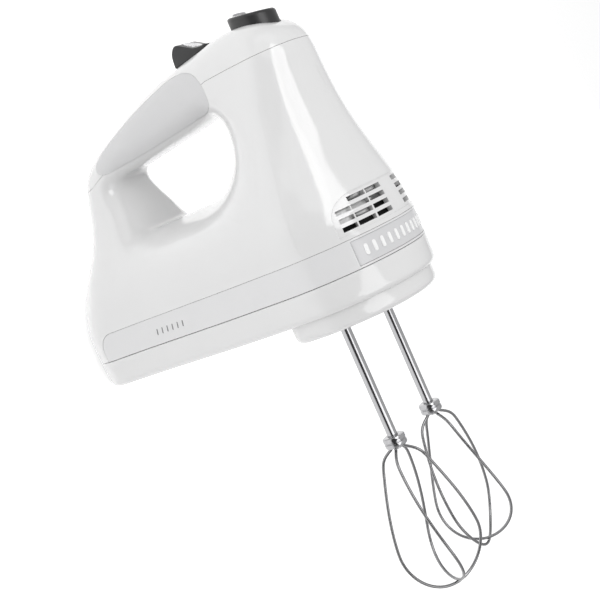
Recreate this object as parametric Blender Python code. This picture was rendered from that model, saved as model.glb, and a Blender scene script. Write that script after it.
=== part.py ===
"""Hand mixer: a closed-loop handle, a motor and worm gearbox in the body, two wire beaters.

Every length in this file is in millimetres and every angle in degrees; solid() turns the
finished mesh into metres.  Shapes are written as the mixer is held in use: x runs forward
to the nose, y to the left, z up from the bottom of the base.  The parent empty of all the
pieces then stands the mixer on its heel, so that the heel is the ground plane.
"""
import math

import bmesh
import bpy
import numpy as np
from mathutils import Matrix, Vector

# ---------------------------------------------------------------- driving dimensions
GAP = 0.3                    # between pieces that touch
WALL = 3.4                   # moulded housing wall
HEEL_Z = 27.0                # height of the middle of the heel rest

# side view of the body, rear to front over the top: x, z, edge radius, flat share of width
BODY_PROFILE = (
    (0.0, -30.0, 24.0, 0.50), (0.0, -10.0, 24.0, 0.50), (0.0, 4.0, 23.0, 0.50),
    (0.0, 20.0, 22.0, 0.52), (0.0, 34.0, 24.0, 0.45), (0.6, 46.0, 28.0, 0.25),
    (9.0, 59.0, 22.0, 0.20), (19.5, 71.0, 15.0, 0.25), (23.5, 84.0, 13.0, 0.25),
    (25.5, 96.0, 13.0, 0.22), (30.0, 107.0, 14.0, 0.18), (42.0, 115.0, 15.0, 0.15),
    (58.0, 121.2, 15.0, 0.15), (76.0, 127.2, 15.0, 0.15), (97.0, 132.25, 15.0, 0.25),
    (112.0, 134.0, 14.0, 0.42), (128.0, 135.87, 14.0, 0.45), (142.0, 137.5, 14.0, 0.45),
    (156.0, 136.6, 15.0, 0.42), (167.0, 133.0, 17.0, 0.35), (174.0, 127.0, 20.0, 0.22),
    (177.0, 119.0, 23.0, 0.10), (178.2, 106.0, 28.0, 0.0), (179.0, 92.0, 33.0, 0.0),
    (181.0, 77.0, 38.0, 0.0), (184.5, 61.0, 43.0, 0.0), (188.0, 46.0, 46.0, 0.0),
    (189.8, 32.0, 47.0, 0.0), (190.0, 18.0, 47.0, 0.0), (190.0, 0.0, 47.0, 0.0),
    (190.0, -14.0, 47.0, 0.0), (190.0, -30.0, 47.0, 0.0))
# finger opening of the handle, clockwise from its upper rear corner: same columns
OPENING_PROFILE = (
    (49.5, 94.5, 9.0, 0.45), (53.5, 98.6, 10.0, 0.40), (62.0, 99.6, 11.0, 0.30),
    (80.0, 101.2, 11.0, 0.28), (100.0, 103.0, 11.0, 0.28), (117.0, 105.0, 12.0, 0.25),
    (123.0, 103.2, 15.0, 0.20), (125.4, 97.0, 20.0, 0.15), (125.4, 89.0, 24.0, 0.12),
    (121.5, 80.0, 26.0, 0.10), (113.0, 72.5, 24.0, 0.06), (101.0, 68.8, 21.0, 0.0),
    (86.0, 68.0, 19.0, 0.0), (70.0, 67.8, 17.0, 0.05), (59.5, 67.8, 13.0, 0.35),
    (55.0, 71.5, 10.0, 0.55), (52.6, 79.0, 9.0, 0.62), (50.6, 87.0, 9.0, 0.55))
OPENING_CENTRE = (88.0, 85.0)
# half widths of the body against height: at the heel post and at the motor head
REAR_WIDTHS = ((0.0, 39.0), (30.0, 39.5), (45.0, 38.0), (55.0, 35.5), (65.0, 31.5),
               (75.0, 26.5), (85.0, 22.5), (97.0, 19.5), (106.0, 18.5), (150.0, 18.5))
FRONT_WIDTHS = ((0.0, 46.0), (38.0, 46.0), (46.0, 44.6), (58.0, 41.2), (70.0, 37.0),
                (82.0, 33.0), (92.0, 30.2), (102.0, 27.6), (115.0, 24.4), (124.0, 22.0),
                (150.0, 19.0))
BODY_COLUMNS = 38            # facets around the side view
BODY_ROWS = 6                # facets from the finger opening out to the edge
HEEL_FACET = 5.0             # a short facet rounds the heel's bottom corner

PARTING_Z = 14.0             # joint between the upper housing and the base
BASE_TAPER = 3.0             # how far the base draws in at its bottom edge
BLOCK_DEPTH = 9.0            # spindle block below the base
BLOCK_REAR_X = 129.0
BLOCK_CORNER = 12.0
BLOCK_STEP = 3.3             # the block is this much narrower than the base

SEAM_LINE = ((215.0, 121.0), (132.0, 121.0), (60.0, 108.0), (38.0, 99.5), (5.0, 95.0))
PAD_THICKNESS = 1.6
BAND_TOP_Z = 28.0
BAND_REAR_X = 16.0
BAND_CORNER = 10.0
BAND_THICKNESS = 2.0
BADGE_X = 176.5
BADGE_MARGIN = 1.3
BADGE_THICKNESS = 0.8

VENT_ROWS = 4
VENT_BOTTOM_Z = 31.8
VENT_PITCH = 4.0
VENT_HEIGHT = 2.2
VENT_ANGLES = ((8.0, 20.5), (22.0, 34.0), (35.2, 44.5))    # from the nose, each side

TOP_SLOPE = math.degrees(math.atan(0.117))                 # the straight top of the head
SLIDE_REAR_X = 110.0
SLIDE_LENGTH = 21.0
SLIDE_WIDTH = 16.5
SLIDE_TRAVEL = 12.0
DISH_LEAN = 30.0             # the slide's thumb face runs down to the front
DISH_X = 119.5
DISH_Z = 141.7
RAMP_HEIGHT = 1.0
TRACK_WIDTH = 10.0
TRACK_LENGTH = 9.0
STEM_LENGTH = 6.0
STEM_WIDTH = 4.0

BUTTON_X = 156.8
BUTTON_LENGTH = 24.0
BUTTON_WIDTH = 20.6
BUTTON_TILT = 11.5
BUTTON_TOP_Z = 141.7
EJECT_TRAVEL = 6.0
EJECT_ROD = 4.0              # radius of the rod under the button
FORK_Z = 53.5
PIN_RADIUS = 2.2

MOTOR_Z = 32.0
STATOR_X = (78.0, 108.0)
STATOR_WIDTH = 54.0
STATOR_HEIGHT = 46.0
ARMATURE_RADIUS = 15.0
ARMATURE_SLOTS = 12
AIR_GAP = 0.7
FAN_BLADES = 9
SHAFT_RADIUS = 4.0
JOURNAL_RADIUS = 2.5
FAN_RADIUS = 21.0
COMMUTATOR_RADIUS = 9.5
BRUSH_X = 63.5
BRUSH_SIZE = 5.0

SPINDLE_X = 148.0
SPINDLE_Y = 21.0             # each side of the middle
WHEEL_TEETH = 24
WHEEL_PITCH_RADIUS = 16.5
TOOTH_ADDENDUM = 1.1
TOOTH_CLEARANCE = 0.4
WHEEL_THICKNESS = 8.0
SPINDLE_RADIUS = 6.0
SOCKET_RADIUS = 7.5
BEATER_RADIUS = 2.5
BEATER_TOP_Z = 20.0
COLLAR_Z = (-73.0, -67.5)
COLLAR_RADIUS = 5.6
LOOP_BOTTOM_Z = -147.5
LOOP_RADIUS = 21.0
LOOP_SHOULDER = 10.3
LOOP_TWIST = 45.0
WIRE_RADIUS = 0.75
LEG_ANGLES = {"right": 10.0, "left": 58.0}

BASE_SCREWS = ((24.0, 30.0), (112.0, 38.5))                # x, y of each pair
SCREW_RADIUS = 1.5
CORD_X = 24.0                # cord gland, under the heel
CORD_BORE = 2.8
GLAND_RADIUS = 5.2
GLAND_LIP = 1.6              # how far its flanges stand out
GLAND_SEAT = 1.2             # depth of the counterbore round its lower flange
MM = 0.001

# ---------------------------------------------------------------- finishes: colour, roughness, metallic
FINISHES = {
    "white_abs": ((0.86, 0.86, 0.86), 0.18, 0.0), "white_trim": ((0.82, 0.82, 0.82), 0.25, 0.0),
    "grip": ((0.66, 0.66, 0.66), 0.55, 0.0), "charcoal": ((0.05, 0.05, 0.05), 0.38, 0.0),
    "dark_mesh": ((0.02, 0.02, 0.02), 0.7, 0.0), "badge": ((0.72, 0.72, 0.73), 0.3, 0.0),
    "bright": ((0.75, 0.76, 0.78), 0.2, 1.0), "stainless": ((0.62, 0.62, 0.63), 0.16, 1.0),
    "steel": ((0.45, 0.46, 0.48), 0.35, 1.0), "laminated": ((0.22, 0.22, 0.24), 0.5, 0.9),
    "copper": ((0.72, 0.33, 0.16), 0.3, 1.0), "bronze": ((0.55, 0.38, 0.18), 0.4, 1.0),
    "aluminium": ((0.68, 0.69, 0.70), 0.4, 1.0), "nylon": ((0.80, 0.77, 0.66), 0.45, 0.0),
    "black_nylon": ((0.03, 0.03, 0.035), 0.5, 0.0), "carbon": ((0.02, 0.02, 0.02), 0.8, 0.0),
    "rubber": ((0.03, 0.03, 0.03), 0.75, 0.0)}


# ---------------------------------------------------------------- frame and object helpers
def clear_scene():
    for old in list(bpy.data.objects):
        bpy.data.objects.remove(old)


def empty(name, at=(0.0, 0.0, 0.0), parent=None):
    holder = bpy.data.objects.new(name, None)
    bpy.context.scene.collection.objects.link(holder)
    holder.location = Vector(at) * MM
    holder.parent = parent
    holder["at"] = at
    return holder


def material(name, finish):
    colour, roughness, metallic = FINISHES[finish]
    made = bpy.data.materials.new(name)
    made.use_nodes = True
    shader = made.node_tree.nodes["Principled BSDF"]
    shader.inputs["Base Color"].default_value = (*colour, 1.0)
    shader.inputs["Roughness"].default_value = roughness
    shader.inputs["Metallic"].default_value = metallic
    return made


def link(name, bm, holder):
    """Scale a mesh to metres, about the holder's axis, and hang it on the holder."""
    bmesh.ops.remove_doubles(bm, verts=bm.verts, dist=1e-4)
    bmesh.ops.recalc_face_normals(bm, faces=bm.faces)
    bm.transform(Matrix.Translation(-Vector(holder["at"])))
    bm.transform(Matrix.Scale(MM, 4))
    mesh = bpy.data.meshes.new(name)
    bm.to_mesh(mesh)
    bm.free()
    piece = bpy.data.objects.new(name, mesh)
    bpy.context.scene.collection.objects.link(piece)
    piece.parent = holder
    return piece


def solid(name, bm, finish, holder):
    piece = link(name, bm, holder)
    piece.data.materials.append(material(name, finish))
    piece.data.shade_smooth()
    piece.data.set_sharp_from_angle(angle=math.radians(35.0))
    return piece


def tool(name, bm, holder):
    """A solid used only by Booleans."""
    piece = link(name, bm, holder)
    piece.hide_render = True
    piece.display_type = "WIRE"
    return piece


def boolean(piece, other, operation):
    cut = piece.modifiers.new(operation.lower() + "_" + other.name, "BOOLEAN")
    cut.operation = operation
    cut.solver = "EXACT"
    cut.object = other


# ---------------------------------------------------------------- mesh helpers
def smoothed(points, per_span, closed=False):
    """Catmull-Rom curve through rows of values."""
    rows = np.array(points, float)
    count = len(rows)
    spans = count if closed else count - 1
    out = []
    for i in range(spans):
        if closed:
            p0, p1, p2, p3 = (rows[(i + k) % count] for k in (-1, 0, 1, 2))
        else:
            p0, p1 = rows[max(i - 1, 0)], rows[i]
            p2, p3 = rows[i + 1], rows[min(i + 2, count - 1)]
        for k in range(per_span):
            t = k / per_span
            out.append(0.5 * (2 * p1 + (p2 - p0) * t + (2 * p0 - 5 * p1 + 4 * p2 - p3) * t ** 2
                              + (3 * p1 - p0 - 3 * p2 + p3) * t ** 3))
    if not closed:
        out.append(rows[-1])
    return np.array(out)


def grid(bm, rings, wrap_rings, wrap_ring):
    """Quads between rings of points."""
    verts = [[bm.verts.new(p) for p in ring] for ring in rings]
    ring_count, size = len(verts), len(verts[0])
    for i in range(ring_count if wrap_rings else ring_count - 1):
        nxt = verts[(i + 1) % ring_count]
        for j in range(size if wrap_ring else size - 1):
            k = (j + 1) % size
            bm.faces.new((verts[i][j], verts[i][k], nxt[k], nxt[j]))
    return verts


def loft(rings):
    bm = bmesh.new()
    verts = grid(bm, rings, False, True)
    bm.faces.new(verts[0])
    bm.faces.new(verts[-1])
    return bm


def prism(outline, low, high, axis="z"):
    """Extrude an outline along an axis: for y the outline is x, z; for x it is y, z."""
    def point(a, b, h):
        return {"z": (a, b, h), "y": (a, h, b), "x": (h, a, b)}[axis]
    return loft([[point(a, b, h) for a, b in outline] for h in (low, high)])


def box(low, high):
    outline = ((low[0], low[1]), (high[0], low[1]), (high[0], high[1]), (low[0], high[1]))
    return prism(outline, low[2], high[2])


def oval(cx, cy, rx, ry, count, power=2.0):
    out = []
    for i in range(count):
        a = 2 * math.pi * i / count
        c, s = math.cos(a), math.sin(a)
        out.append((cx + rx * math.copysign(abs(c) ** (2 / power), c),
                    cy + ry * math.copysign(abs(s) ** (2 / power), s)))
    return out


def turned(profile, centre, axis, steps=20):
    """Turn a closed profile of (radius, height) about a line through centre."""
    bm = bmesh.new()
    rings = []
    for i in range(steps):
        a = 2 * math.pi * i / steps
        c, s = math.cos(a), math.sin(a)
        if axis == "z":
            rings.append([(centre[0] + r * c, centre[1] + r * s, h) for r, h in profile])
        elif axis == "x":
            rings.append([(h, centre[0] + r * c, centre[1] + r * s) for r, h in profile])
        else:
            rings.append([(centre[0] + r * c, h, centre[1] + r * s) for r, h in profile])
    grid(bm, rings, True, True)
    return bm


def sleeve(inner, outer, low, high):
    return [(inner, low), (outer, low), (outer, high), (inner, high)]


def rod(radius, low, high, centre, axis, steps=16):
    """Plain round bar, closed by flat ends."""
    rings = []
    for h in (low, high):
        ring = []
        for i in range(steps):
            a = 2 * math.pi * i / steps
            u, v = centre[0] + radius * math.cos(a), centre[1] + radius * math.sin(a)
            ring.append({"z": (u, v, h), "x": (h, u, v), "y": (u, h, v)}[axis])
        rings.append(ring)
    return loft(rings)


def tube(path, radius, sides, closed=False):
    """Round tube along a path of points, its section carried along without twisting."""
    points = [Vector(p) for p in path]
    count = len(points)
    side = None
    rings = []
    for i, here in enumerate(points):
        before = points[i - 1] if (closed or i > 0) else here
        after = points[(i + 1) % count] if (closed or i < count - 1) else here
        along = (after - before).normalized()
        if side is None:
            side = along.orthogonal().normalized()
        side = (side - along * side.dot(along)).normalized()
        other = along.cross(side)
        rings.append([here + radius * (math.cos(a) * side + math.sin(a) * other)
                      for a in (2 * math.pi * k / sides for k in range(sides))])
    if not closed:
        return loft(rings)
    bm = bmesh.new()
    grid(bm, rings, True, True)
    return bm


# ---------------------------------------------------------------- body surface
def offset_line(rows, distance):
    """Move a profile to its right-hand side and shrink its edge radius to match."""
    ahead = np.roll(rows[:, :2], -1, axis=0) - np.roll(rows[:, :2], 1, axis=0)
    ahead[0], ahead[-1] = rows[1, :2] - rows[0, :2], rows[-1, :2] - rows[-2, :2]
    ahead /= np.linalg.norm(ahead, axis=1)[:, None]
    moved = rows.copy()
    moved[:, 0] += ahead[:, 1] * distance
    moved[:, 1] -= ahead[:, 0] * distance
    moved[:, 2] = np.maximum(rows[:, 2] - distance, 2.0)
    return moved


def body_lines(inset):
    outer = smoothed(BODY_PROFILE, 8)
    outer[:, 0] = np.maximum(outer[:, 0], 0.0)             # the heel is flat
    outer = offset_line(outer, inset)
    loop = smoothed(OPENING_PROFILE, 8, closed=True)
    loop = np.vstack([loop[-1:], loop, loop[:1]])
    return outer, offset_line(loop, -inset)[1:-1]


def rounding(points, line, closed):
    """Share of the full width left at each point by the edge rounding of one profile."""
    ends = np.roll(line, -1, axis=0)
    start, ends = (line, ends) if closed else (line[:-1], ends[:-1])
    step = (ends - start)[:, :2]
    lead = points[:, None, :] - start[None, :, :2]
    share = np.clip((lead * step).sum(axis=2) / np.maximum((step ** 2).sum(axis=1), 1e-12), 0.0, 1.0)
    gap = np.linalg.norm(lead - share[:, :, None] * step, axis=2)
    radius = start[:, 2] + share * (ends - start)[:, 2]
    flats = start[:, 3] + share * (ends - start)[:, 3]
    nearest = np.argmin(gap / radius, axis=1)
    row = np.arange(len(points))
    u = np.clip(gap[row, nearest] / radius[row, nearest], 0.0, 1.0)
    flat = flats[row, nearest]
    return flat + (1.0 - flat) * np.sqrt(1.0 - (1.0 - u) ** 2)


def half_width(points, inset=0.0):
    """Half width of the body at points of the side view."""
    points = np.array(points, float)
    outer, loop = body_lines(inset)
    rear = np.interp(points[:, 1], *np.array(REAR_WIDTHS).T)
    front = np.interp(points[:, 1], *np.array(FRONT_WIDTHS).T)
    lift = np.clip((points[:, 1] - 55.0) / 45.0, 0.0, 1.0)
    start, end = 25.0 + 75.0 * lift, 125.0 + 25.0 * lift
    t = np.clip((points[:, 0] - start) / (end - start), 0.0, 1.0)
    full = rear + (front - rear) * t * t * (3.0 - 2.0 * t) - inset
    return full * rounding(points, outer, False) * rounding(points, loop, True)


def ray_reach(line, angle):
    """Distance from the middle of the finger opening to a closed line, along an angle."""
    start = line[:, :2] - np.array(OPENING_CENTRE)
    step = np.roll(start, -1, axis=0) - start
    way = np.array((math.cos(angle), math.sin(angle)))
    cross = way[0] * step[:, 1] - way[1] * step[:, 0]
    cross[np.abs(cross) < 1e-12] = 1e-12
    reach = (start[:, 0] * step[:, 1] - start[:, 1] * step[:, 0]) / cross
    share = (start[:, 0] * way[1] - start[:, 1] * way[0]) / cross
    return reach[(reach > 0) & (share >= -1e-9) & (share <= 1 + 1e-9)].max()


def closed_side(inset, low_z):
    """Side view of the body, cut off by a level line at low_z."""
    outer, _ = body_lines(inset)
    kept = outer[outer[:, 1] > low_z]
    rear, front = kept[0].copy(), kept[-1].copy()
    rear[1] = front[1] = low_z
    return np.vstack([rear, kept, front])


def column_angles(low_z):
    """Directions of the facets: even steps along the side view, one on each low corner."""
    ring = closed_side(0.0, low_z)
    ring = np.vstack([ring, ring[:1]])
    lengths = np.linalg.norm(np.diff(ring[:, :2], axis=0), axis=1)
    spacing = np.concatenate([[0.0], np.cumsum(lengths)])
    stations = np.linspace(0.0, spacing[-1], BODY_COLUMNS, endpoint=False)
    corner = spacing[-2]
    stations[np.argmin(np.abs(stations - corner))] = corner
    stations = np.append(stations, spacing[-1] - HEEL_FACET)
    ex, ez = (np.interp(stations, spacing, ring[:, k]) for k in (0, 1))
    return np.arctan2(ez - OPENING_CENTRE[1], ex - OPENING_CENTRE[0])


def body_solid(inset, low_z):
    """The whole handled body, drawn in by inset and closed by a flat bottom at low_z."""
    ring_line = closed_side(inset, low_z)
    loop = body_lines(inset)[1]
    share = 0.5 - 0.5 * np.cos(np.linspace(0.0, math.pi, BODY_ROWS + 1))
    rings = []
    for a in column_angles(PARTING_Z + GAP / 2):
        far, near = ray_reach(ring_line, a), ray_reach(loop, a)
        reach = near + (far - near) * share
        px = OPENING_CENTRE[0] + reach * math.cos(a)
        pz = OPENING_CENTRE[1] + reach * math.sin(a)
        wide = half_width(np.stack([px, pz], axis=1), inset)
        right = [(x, -y, z) for x, y, z in zip(px, wide, pz)]
        left = [(x, y, z) for x, y, z in zip(px, wide, pz)]
        rings.append(right + left[::-1])
    bm = bmesh.new()
    grid(bm, rings, True, True)
    bmesh.ops.remove_doubles(bm, verts=bm.verts, dist=0.01)
    bmesh.ops.triangulate(bm, faces=bm.faces)
    return bm


def plan_outline(z, inset, count=16):
    """Outline of the body seen from above, at one height: x, y round the loop."""
    outer, _ = body_lines(inset)
    level = np.full(200, float(z))
    rear = np.interp(z, outer[:60, 1], outer[:60, 0])
    front = np.interp(-z, -outer[-60:, 1], outer[-60:, 0])
    share = 0.5 - 0.5 * np.cos(np.linspace(0.0, math.pi, 200))
    xs = rear + (front - rear) * share
    ys = half_width(np.stack([xs, level], axis=1), inset)
    along = np.concatenate([[0.0], np.cumsum(np.hypot(np.diff(xs), np.diff(ys)))])
    stations = np.linspace(0.0, along[-1], count)
    px, py = np.interp(stations, along, xs), np.interp(stations, along, ys)
    right = [(x, -y) for x, y in zip(px, py)]
    left = [(x, y) for x, y in zip(px, py)][::-1]
    return right + (left if py[-1] > 0.1 else left[1:])


# ---------------------------------------------------------------- casings
def seam_region(shift):
    """Side-view area above the seam of the top cover, moved up by shift."""
    lower = [(x, z + shift) for x, z in SEAM_LINE]
    return lower + [(SEAM_LINE[-1][0], 200.0), (SEAM_LINE[0][0], 200.0)]


def pad_outline(grow):
    """Side view of a grip pad, rounded at its front end and drawn out to the rear."""
    rows = ((129.5 + grow, 117.0), (126.5 + grow, 109.5 - grow), (112.0, 107.2 - grow),
            (84.0, 104.8 - grow), (60.0, 103.4 - grow), (48.5, 103.4 - grow),
            (44.0 - grow, 108.0), (50.0, 113.8 + grow), (74.0, 122.4 + grow),
            (98.0, 128.2 + grow), (114.0, 130.0 + grow), (125.0 + grow, 126.5 + grow))
    return [tuple(p) for p in smoothed(rows, 3, closed=True)[:, :2]]


def band_outline(grow):
    """Side view of the trim band, its rear upper corner rounded."""
    rear, top = BAND_REAR_X - grow, BAND_TOP_Z + grow
    corner = [(rear + BAND_CORNER - BAND_CORNER * math.cos(a), top - BAND_CORNER + BAND_CORNER * math.sin(a))
              for a in (math.radians(15.0 * k) for k in range(7))]
    return [(rear, PARTING_Z + GAP / 2 - 4 * grow)] + corner + [
        (215.0, top), (215.0, PARTING_Z + GAP / 2 - 4 * grow)]


def side_slab(name, outline, holder, low=-70.0, high=70.0):
    return tool(name, prism(outline, low, high, "y"), holder)


def vent_tools(holder):
    """Slots standing square to the nose, in rows; the lowest angles are nearest the nose."""
    bm = bmesh.new()
    centre = Vector((143.0, 0.0, 0.0))
    for row in range(VENT_ROWS):
        z = VENT_BOTTOM_Z + row * VENT_PITCH
        for first, last in VENT_ANGLES[:2 if row == VENT_ROWS - 1 else 3]:
            for side in (-1.0, 1.0):
                a0, a1 = (math.radians(v) * side for v in (first, last))
                plan = [centre + r * Vector((math.cos(a), math.sin(a), 0.0))
                        for r, a in ((38.0, a0), (38.0, a1), (60.0, a1), (60.0, a0))]
                corners = [[bm.verts.new((p.x, p.y, h)) for p in plan] for h in (z, z + VENT_HEIGHT)]
                bm.faces.new(corners[0])
                bm.faces.new(corners[1])
                for k in range(4):
                    n = (k + 1) % 4
                    bm.faces.new((corners[0][k], corners[0][n], corners[1][n], corners[1][k]))
    return tool("vent_cutter", bm, holder)


def casings(root):
    low = PARTING_Z - 12.0
    skin = tool("body_skin", body_solid(0.0, low), root)
    inside = tool("body_inside", body_solid(WALL, low - 5.0), root)
    above_seam = side_slab("above_seam", seam_region(-GAP / 2), root)
    cover_keep = side_slab("cover_keep", seam_region(GAP / 2), root)
    vents = vent_tools(root)

    band_pocket = side_slab("band_pocket", band_outline(GAP), root)
    boolean(band_pocket, tool("body_under_band", body_solid(BAND_THICKNESS + GAP, low), root), "DIFFERENCE")
    pad_pockets = []
    pad_floor = tool("body_under_pad", body_solid(PAD_THICKNESS + GAP, low), root)
    for side, span in (("right", (-70.0, -4.0)), ("left", (4.0, 70.0))):
        pocket = side_slab("pad_pocket_" + side, pad_outline(GAP), root, *span)
        boolean(pocket, pad_floor, "DIFFERENCE")
        pad_pockets.append(pocket)

    upper = solid("upper_housing", body_solid(0.0, PARTING_Z + GAP / 2), "white_abs", root)
    for cutter in [band_pocket] + pad_pockets + [inside, above_seam, vents]:
        boolean(upper, cutter, "DIFFERENCE")

    cover = solid("handle_cover", body_solid(0.0, low), "white_abs", root)
    boolean(cover, inside, "DIFFERENCE")
    boolean(cover, cover_keep, "INTERSECT")
    button_hole = prism(oval(BUTTON_X, 0, BUTTON_LENGTH / 2 + GAP, BUTTON_WIDTH / 2 + GAP, 20), 100.0, 170.0)
    boolean(cover, tool("button_hole", button_hole, root), "DIFFERENCE")
    slot = box((SLIDE_REAR_X + 0.5, -STEM_WIDTH / 2 - GAP, 100.0),
               (SLIDE_REAR_X + 1.6 + STEM_LENGTH + SLIDE_TRAVEL, STEM_WIDTH / 2 + GAP, 170.0))
    boolean(cover, tool("slide_slot", slot, root), "DIFFERENCE")
    for pocket in pad_pockets:
        boolean(cover, pocket, "DIFFERENCE")

    pad_inner = tool("pad_inner", body_solid(PAD_THICKNESS, low), root)
    for side, span in (("right", (-60.0, -4.0)), ("left", (4.0, 60.0))):
        pad = solid("grip_pad_" + side, prism(pad_outline(0.0), *span, "y"), "grip", root)
        boolean(pad, skin, "INTERSECT")
        boolean(pad, pad_inner, "DIFFERENCE")

    band = solid("trim_band", prism(band_outline(0.0), -60.0, 60.0, "y"), "white_trim", root)
    boolean(band, skin, "INTERSECT")
    boolean(band, tool("band_inner", body_solid(BAND_THICKNESS, low), root), "DIFFERENCE")
    badge_low, badge_high = PARTING_Z + GAP / 2 + BADGE_MARGIN, BAND_TOP_Z - BADGE_MARGIN
    recess = box((BADGE_X - GAP, -60, badge_low - GAP), (215, 60, badge_high + GAP))
    recess = tool("badge_recess", recess, root)
    boolean(recess, tool("body_under_badge", body_solid(BADGE_THICKNESS + 2 * GAP, low), root), "DIFFERENCE")
    boolean(band, recess, "DIFFERENCE")
    badge = solid("badge_plate", box((BADGE_X, -60, badge_low), (215, 60, badge_high)), "badge", root)
    boolean(badge, tool("badge_outer", body_solid(GAP, low), root), "INTERSECT")
    boolean(badge, tool("badge_inner", body_solid(BADGE_THICKNESS + GAP, low), root), "DIFFERENCE")

    top = VENT_BOTTOM_Z + VENT_ROWS * VENT_PITCH
    baffle = solid("vent_screen", box((158.0, -60.0, VENT_BOTTOM_Z - 3.0), (215, 60, top + 1.0)), "dark_mesh", root)
    boolean(baffle, tool("screen_outer", body_solid(WALL + GAP, low), root), "INTERSECT")
    boolean(baffle, tool("screen_inner", body_solid(WALL + GAP + 1.0, low), root), "DIFFERENCE")


def inset_outline(outline, distance):
    """Draw a plan outline in towards its middle along its own normals."""
    rows = np.array(outline)
    ahead = np.roll(rows, -1, axis=0) - np.roll(rows, 1, axis=0)
    ahead /= np.linalg.norm(ahead, axis=1)[:, None]
    return [(x - ty * distance, y + tx * distance) for (x, y), (tx, ty) in zip(rows, ahead)]


def block_outline(outline):
    """Plan of the spindle block: the front of the base, drawn in, with a rounded rear end."""
    start = BLOCK_REAR_X + BLOCK_CORNER
    kept = [p for p in inset_outline(outline, BLOCK_STEP) if p[0] > start + 1.0]
    half = kept[0][1] * -1.0 - 0.1
    arcs = []
    for sign, turns in ((1.0, range(0, 5)), (-1.0, range(4, -1, -1))):
        for k in turns:
            a = math.radians(22.5 * k)
            arcs.append((start - BLOCK_CORNER * math.sin(a),
                         sign * (half - BLOCK_CORNER + BLOCK_CORNER * math.cos(a))))
    return kept + arcs


def base_stack(outline, levels):
    return loft([[(x, y, z) for x, y in inset_outline(outline, d)] for z, d in levels])


def base(root):
    outline = plan_outline(PARTING_Z, 0.0)
    top = PARTING_Z - GAP / 2
    piece = solid("base_housing", base_stack(outline, (
        (top, 0.0), (5.0, 0.2), (1.5, 0.45 * BASE_TAPER), (0.0, BASE_TAPER))), "white_abs", root)
    front = block_outline(outline)
    block = tool("block_outer", base_stack(front, (
        (4.0, 0.0), (-BLOCK_DEPTH + 4.5, 0.0), (-BLOCK_DEPTH + 2.5, 0.6), (-BLOCK_DEPTH, 3.0))), root)
    boolean(piece, block, "UNION")
    hollow = tool("base_hollow", base_stack(outline, (
        (top + 5.0, WALL), (5.0, WALL + 0.2), (WALL, WALL + 2.0))), root)
    boolean(piece, hollow, "DIFFERENCE")
    well = tool("block_hollow", base_stack(front, ((6.0, WALL + 0.5), (-BLOCK_DEPTH + WALL, WALL + 3.0))), root)
    boolean(piece, well, "DIFFERENCE")
    for side, sign in (("right", -1), ("left", 1)):
        centre = (SPINDLE_X, sign * SPINDLE_Y)
        outer = SOCKET_RADIUS + GAP + 2.2
        ring = turned(sleeve(outer + GAP, outer + 3.0, -BLOCK_DEPTH + WALL - 0.6, -0.5), centre, "z", 16)
        boolean(piece, tool("bush_wall_" + side, ring, root), "UNION")
        hole = rod(outer + GAP, -20.0, 12.0, centre, "z", 16)
        boolean(piece, tool("bush_hole_" + side, hole, root), "DIFFERENCE")
        bush = turned(sleeve(SOCKET_RADIUS + GAP, outer, -BLOCK_DEPTH + 0.4, -1.0), centre, "z", 16)
        solid("spindle_bush_" + side, bush, "bronze", root)
    waist, flange = GLAND_RADIUS, GLAND_RADIUS + GLAND_LIP
    hole = turned([(0.0, -5.0), (flange + GAP, -5.0), (flange + GAP, GLAND_SEAT), (waist + GAP, GLAND_SEAT),
                   (waist + GAP, 8.0), (0.0, 8.0)], (CORD_X, 0.0), "z", 12)
    boolean(piece, tool("cord_hole", hole, root), "DIFFERENCE")
    gland = turned([(CORD_BORE, 0.2), (flange, 0.2), (flange, GLAND_SEAT - GAP), (waist, GLAND_SEAT - GAP),
                    (waist, WALL + GAP), (flange, WALL + GAP), (flange, WALL + GLAND_LIP + GAP),
                    (CORD_BORE, WALL + GLAND_LIP + GAP)], (CORD_X, 0.0), "z", 12)
    solid("cord_gland", gland, "rubber", root)
    number = 0
    for x, y in BASE_SCREWS:
        for sign in (-1, 1):
            number += 1
            spot = (x, sign * y)
            post = rod(4.0, WALL - 1.0, top, spot, "z", 10)
            boolean(piece, tool(f"screw_post_{number}", post, root), "UNION")
            hole = turned([(0.0, -5.0), (3.4, -5.0), (3.4, 4.0), (SCREW_RADIUS + GAP, 4.0),
                           (SCREW_RADIUS + GAP, 20.0), (0.0, 20.0)], spot, "z", 10)
            boolean(piece, tool(f"screw_hole_{number}", hole, root), "DIFFERENCE")
            screw = turned([(0.0, 2.0), (3.0, 2.0), (3.0, 3.7), (SCREW_RADIUS, 3.7),
                            (SCREW_RADIUS, top - 0.5), (0.0, top + 1.0)], spot, "z", 10)
            solid(f"base_screw_{number}", screw, "steel", root)


# ---------------------------------------------------------------- controls on the top
def top_z(x):
    """Height of the straight top of the head."""
    return 134.0 + math.tan(math.radians(TOP_SLOPE)) * (x - 112.0)


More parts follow.
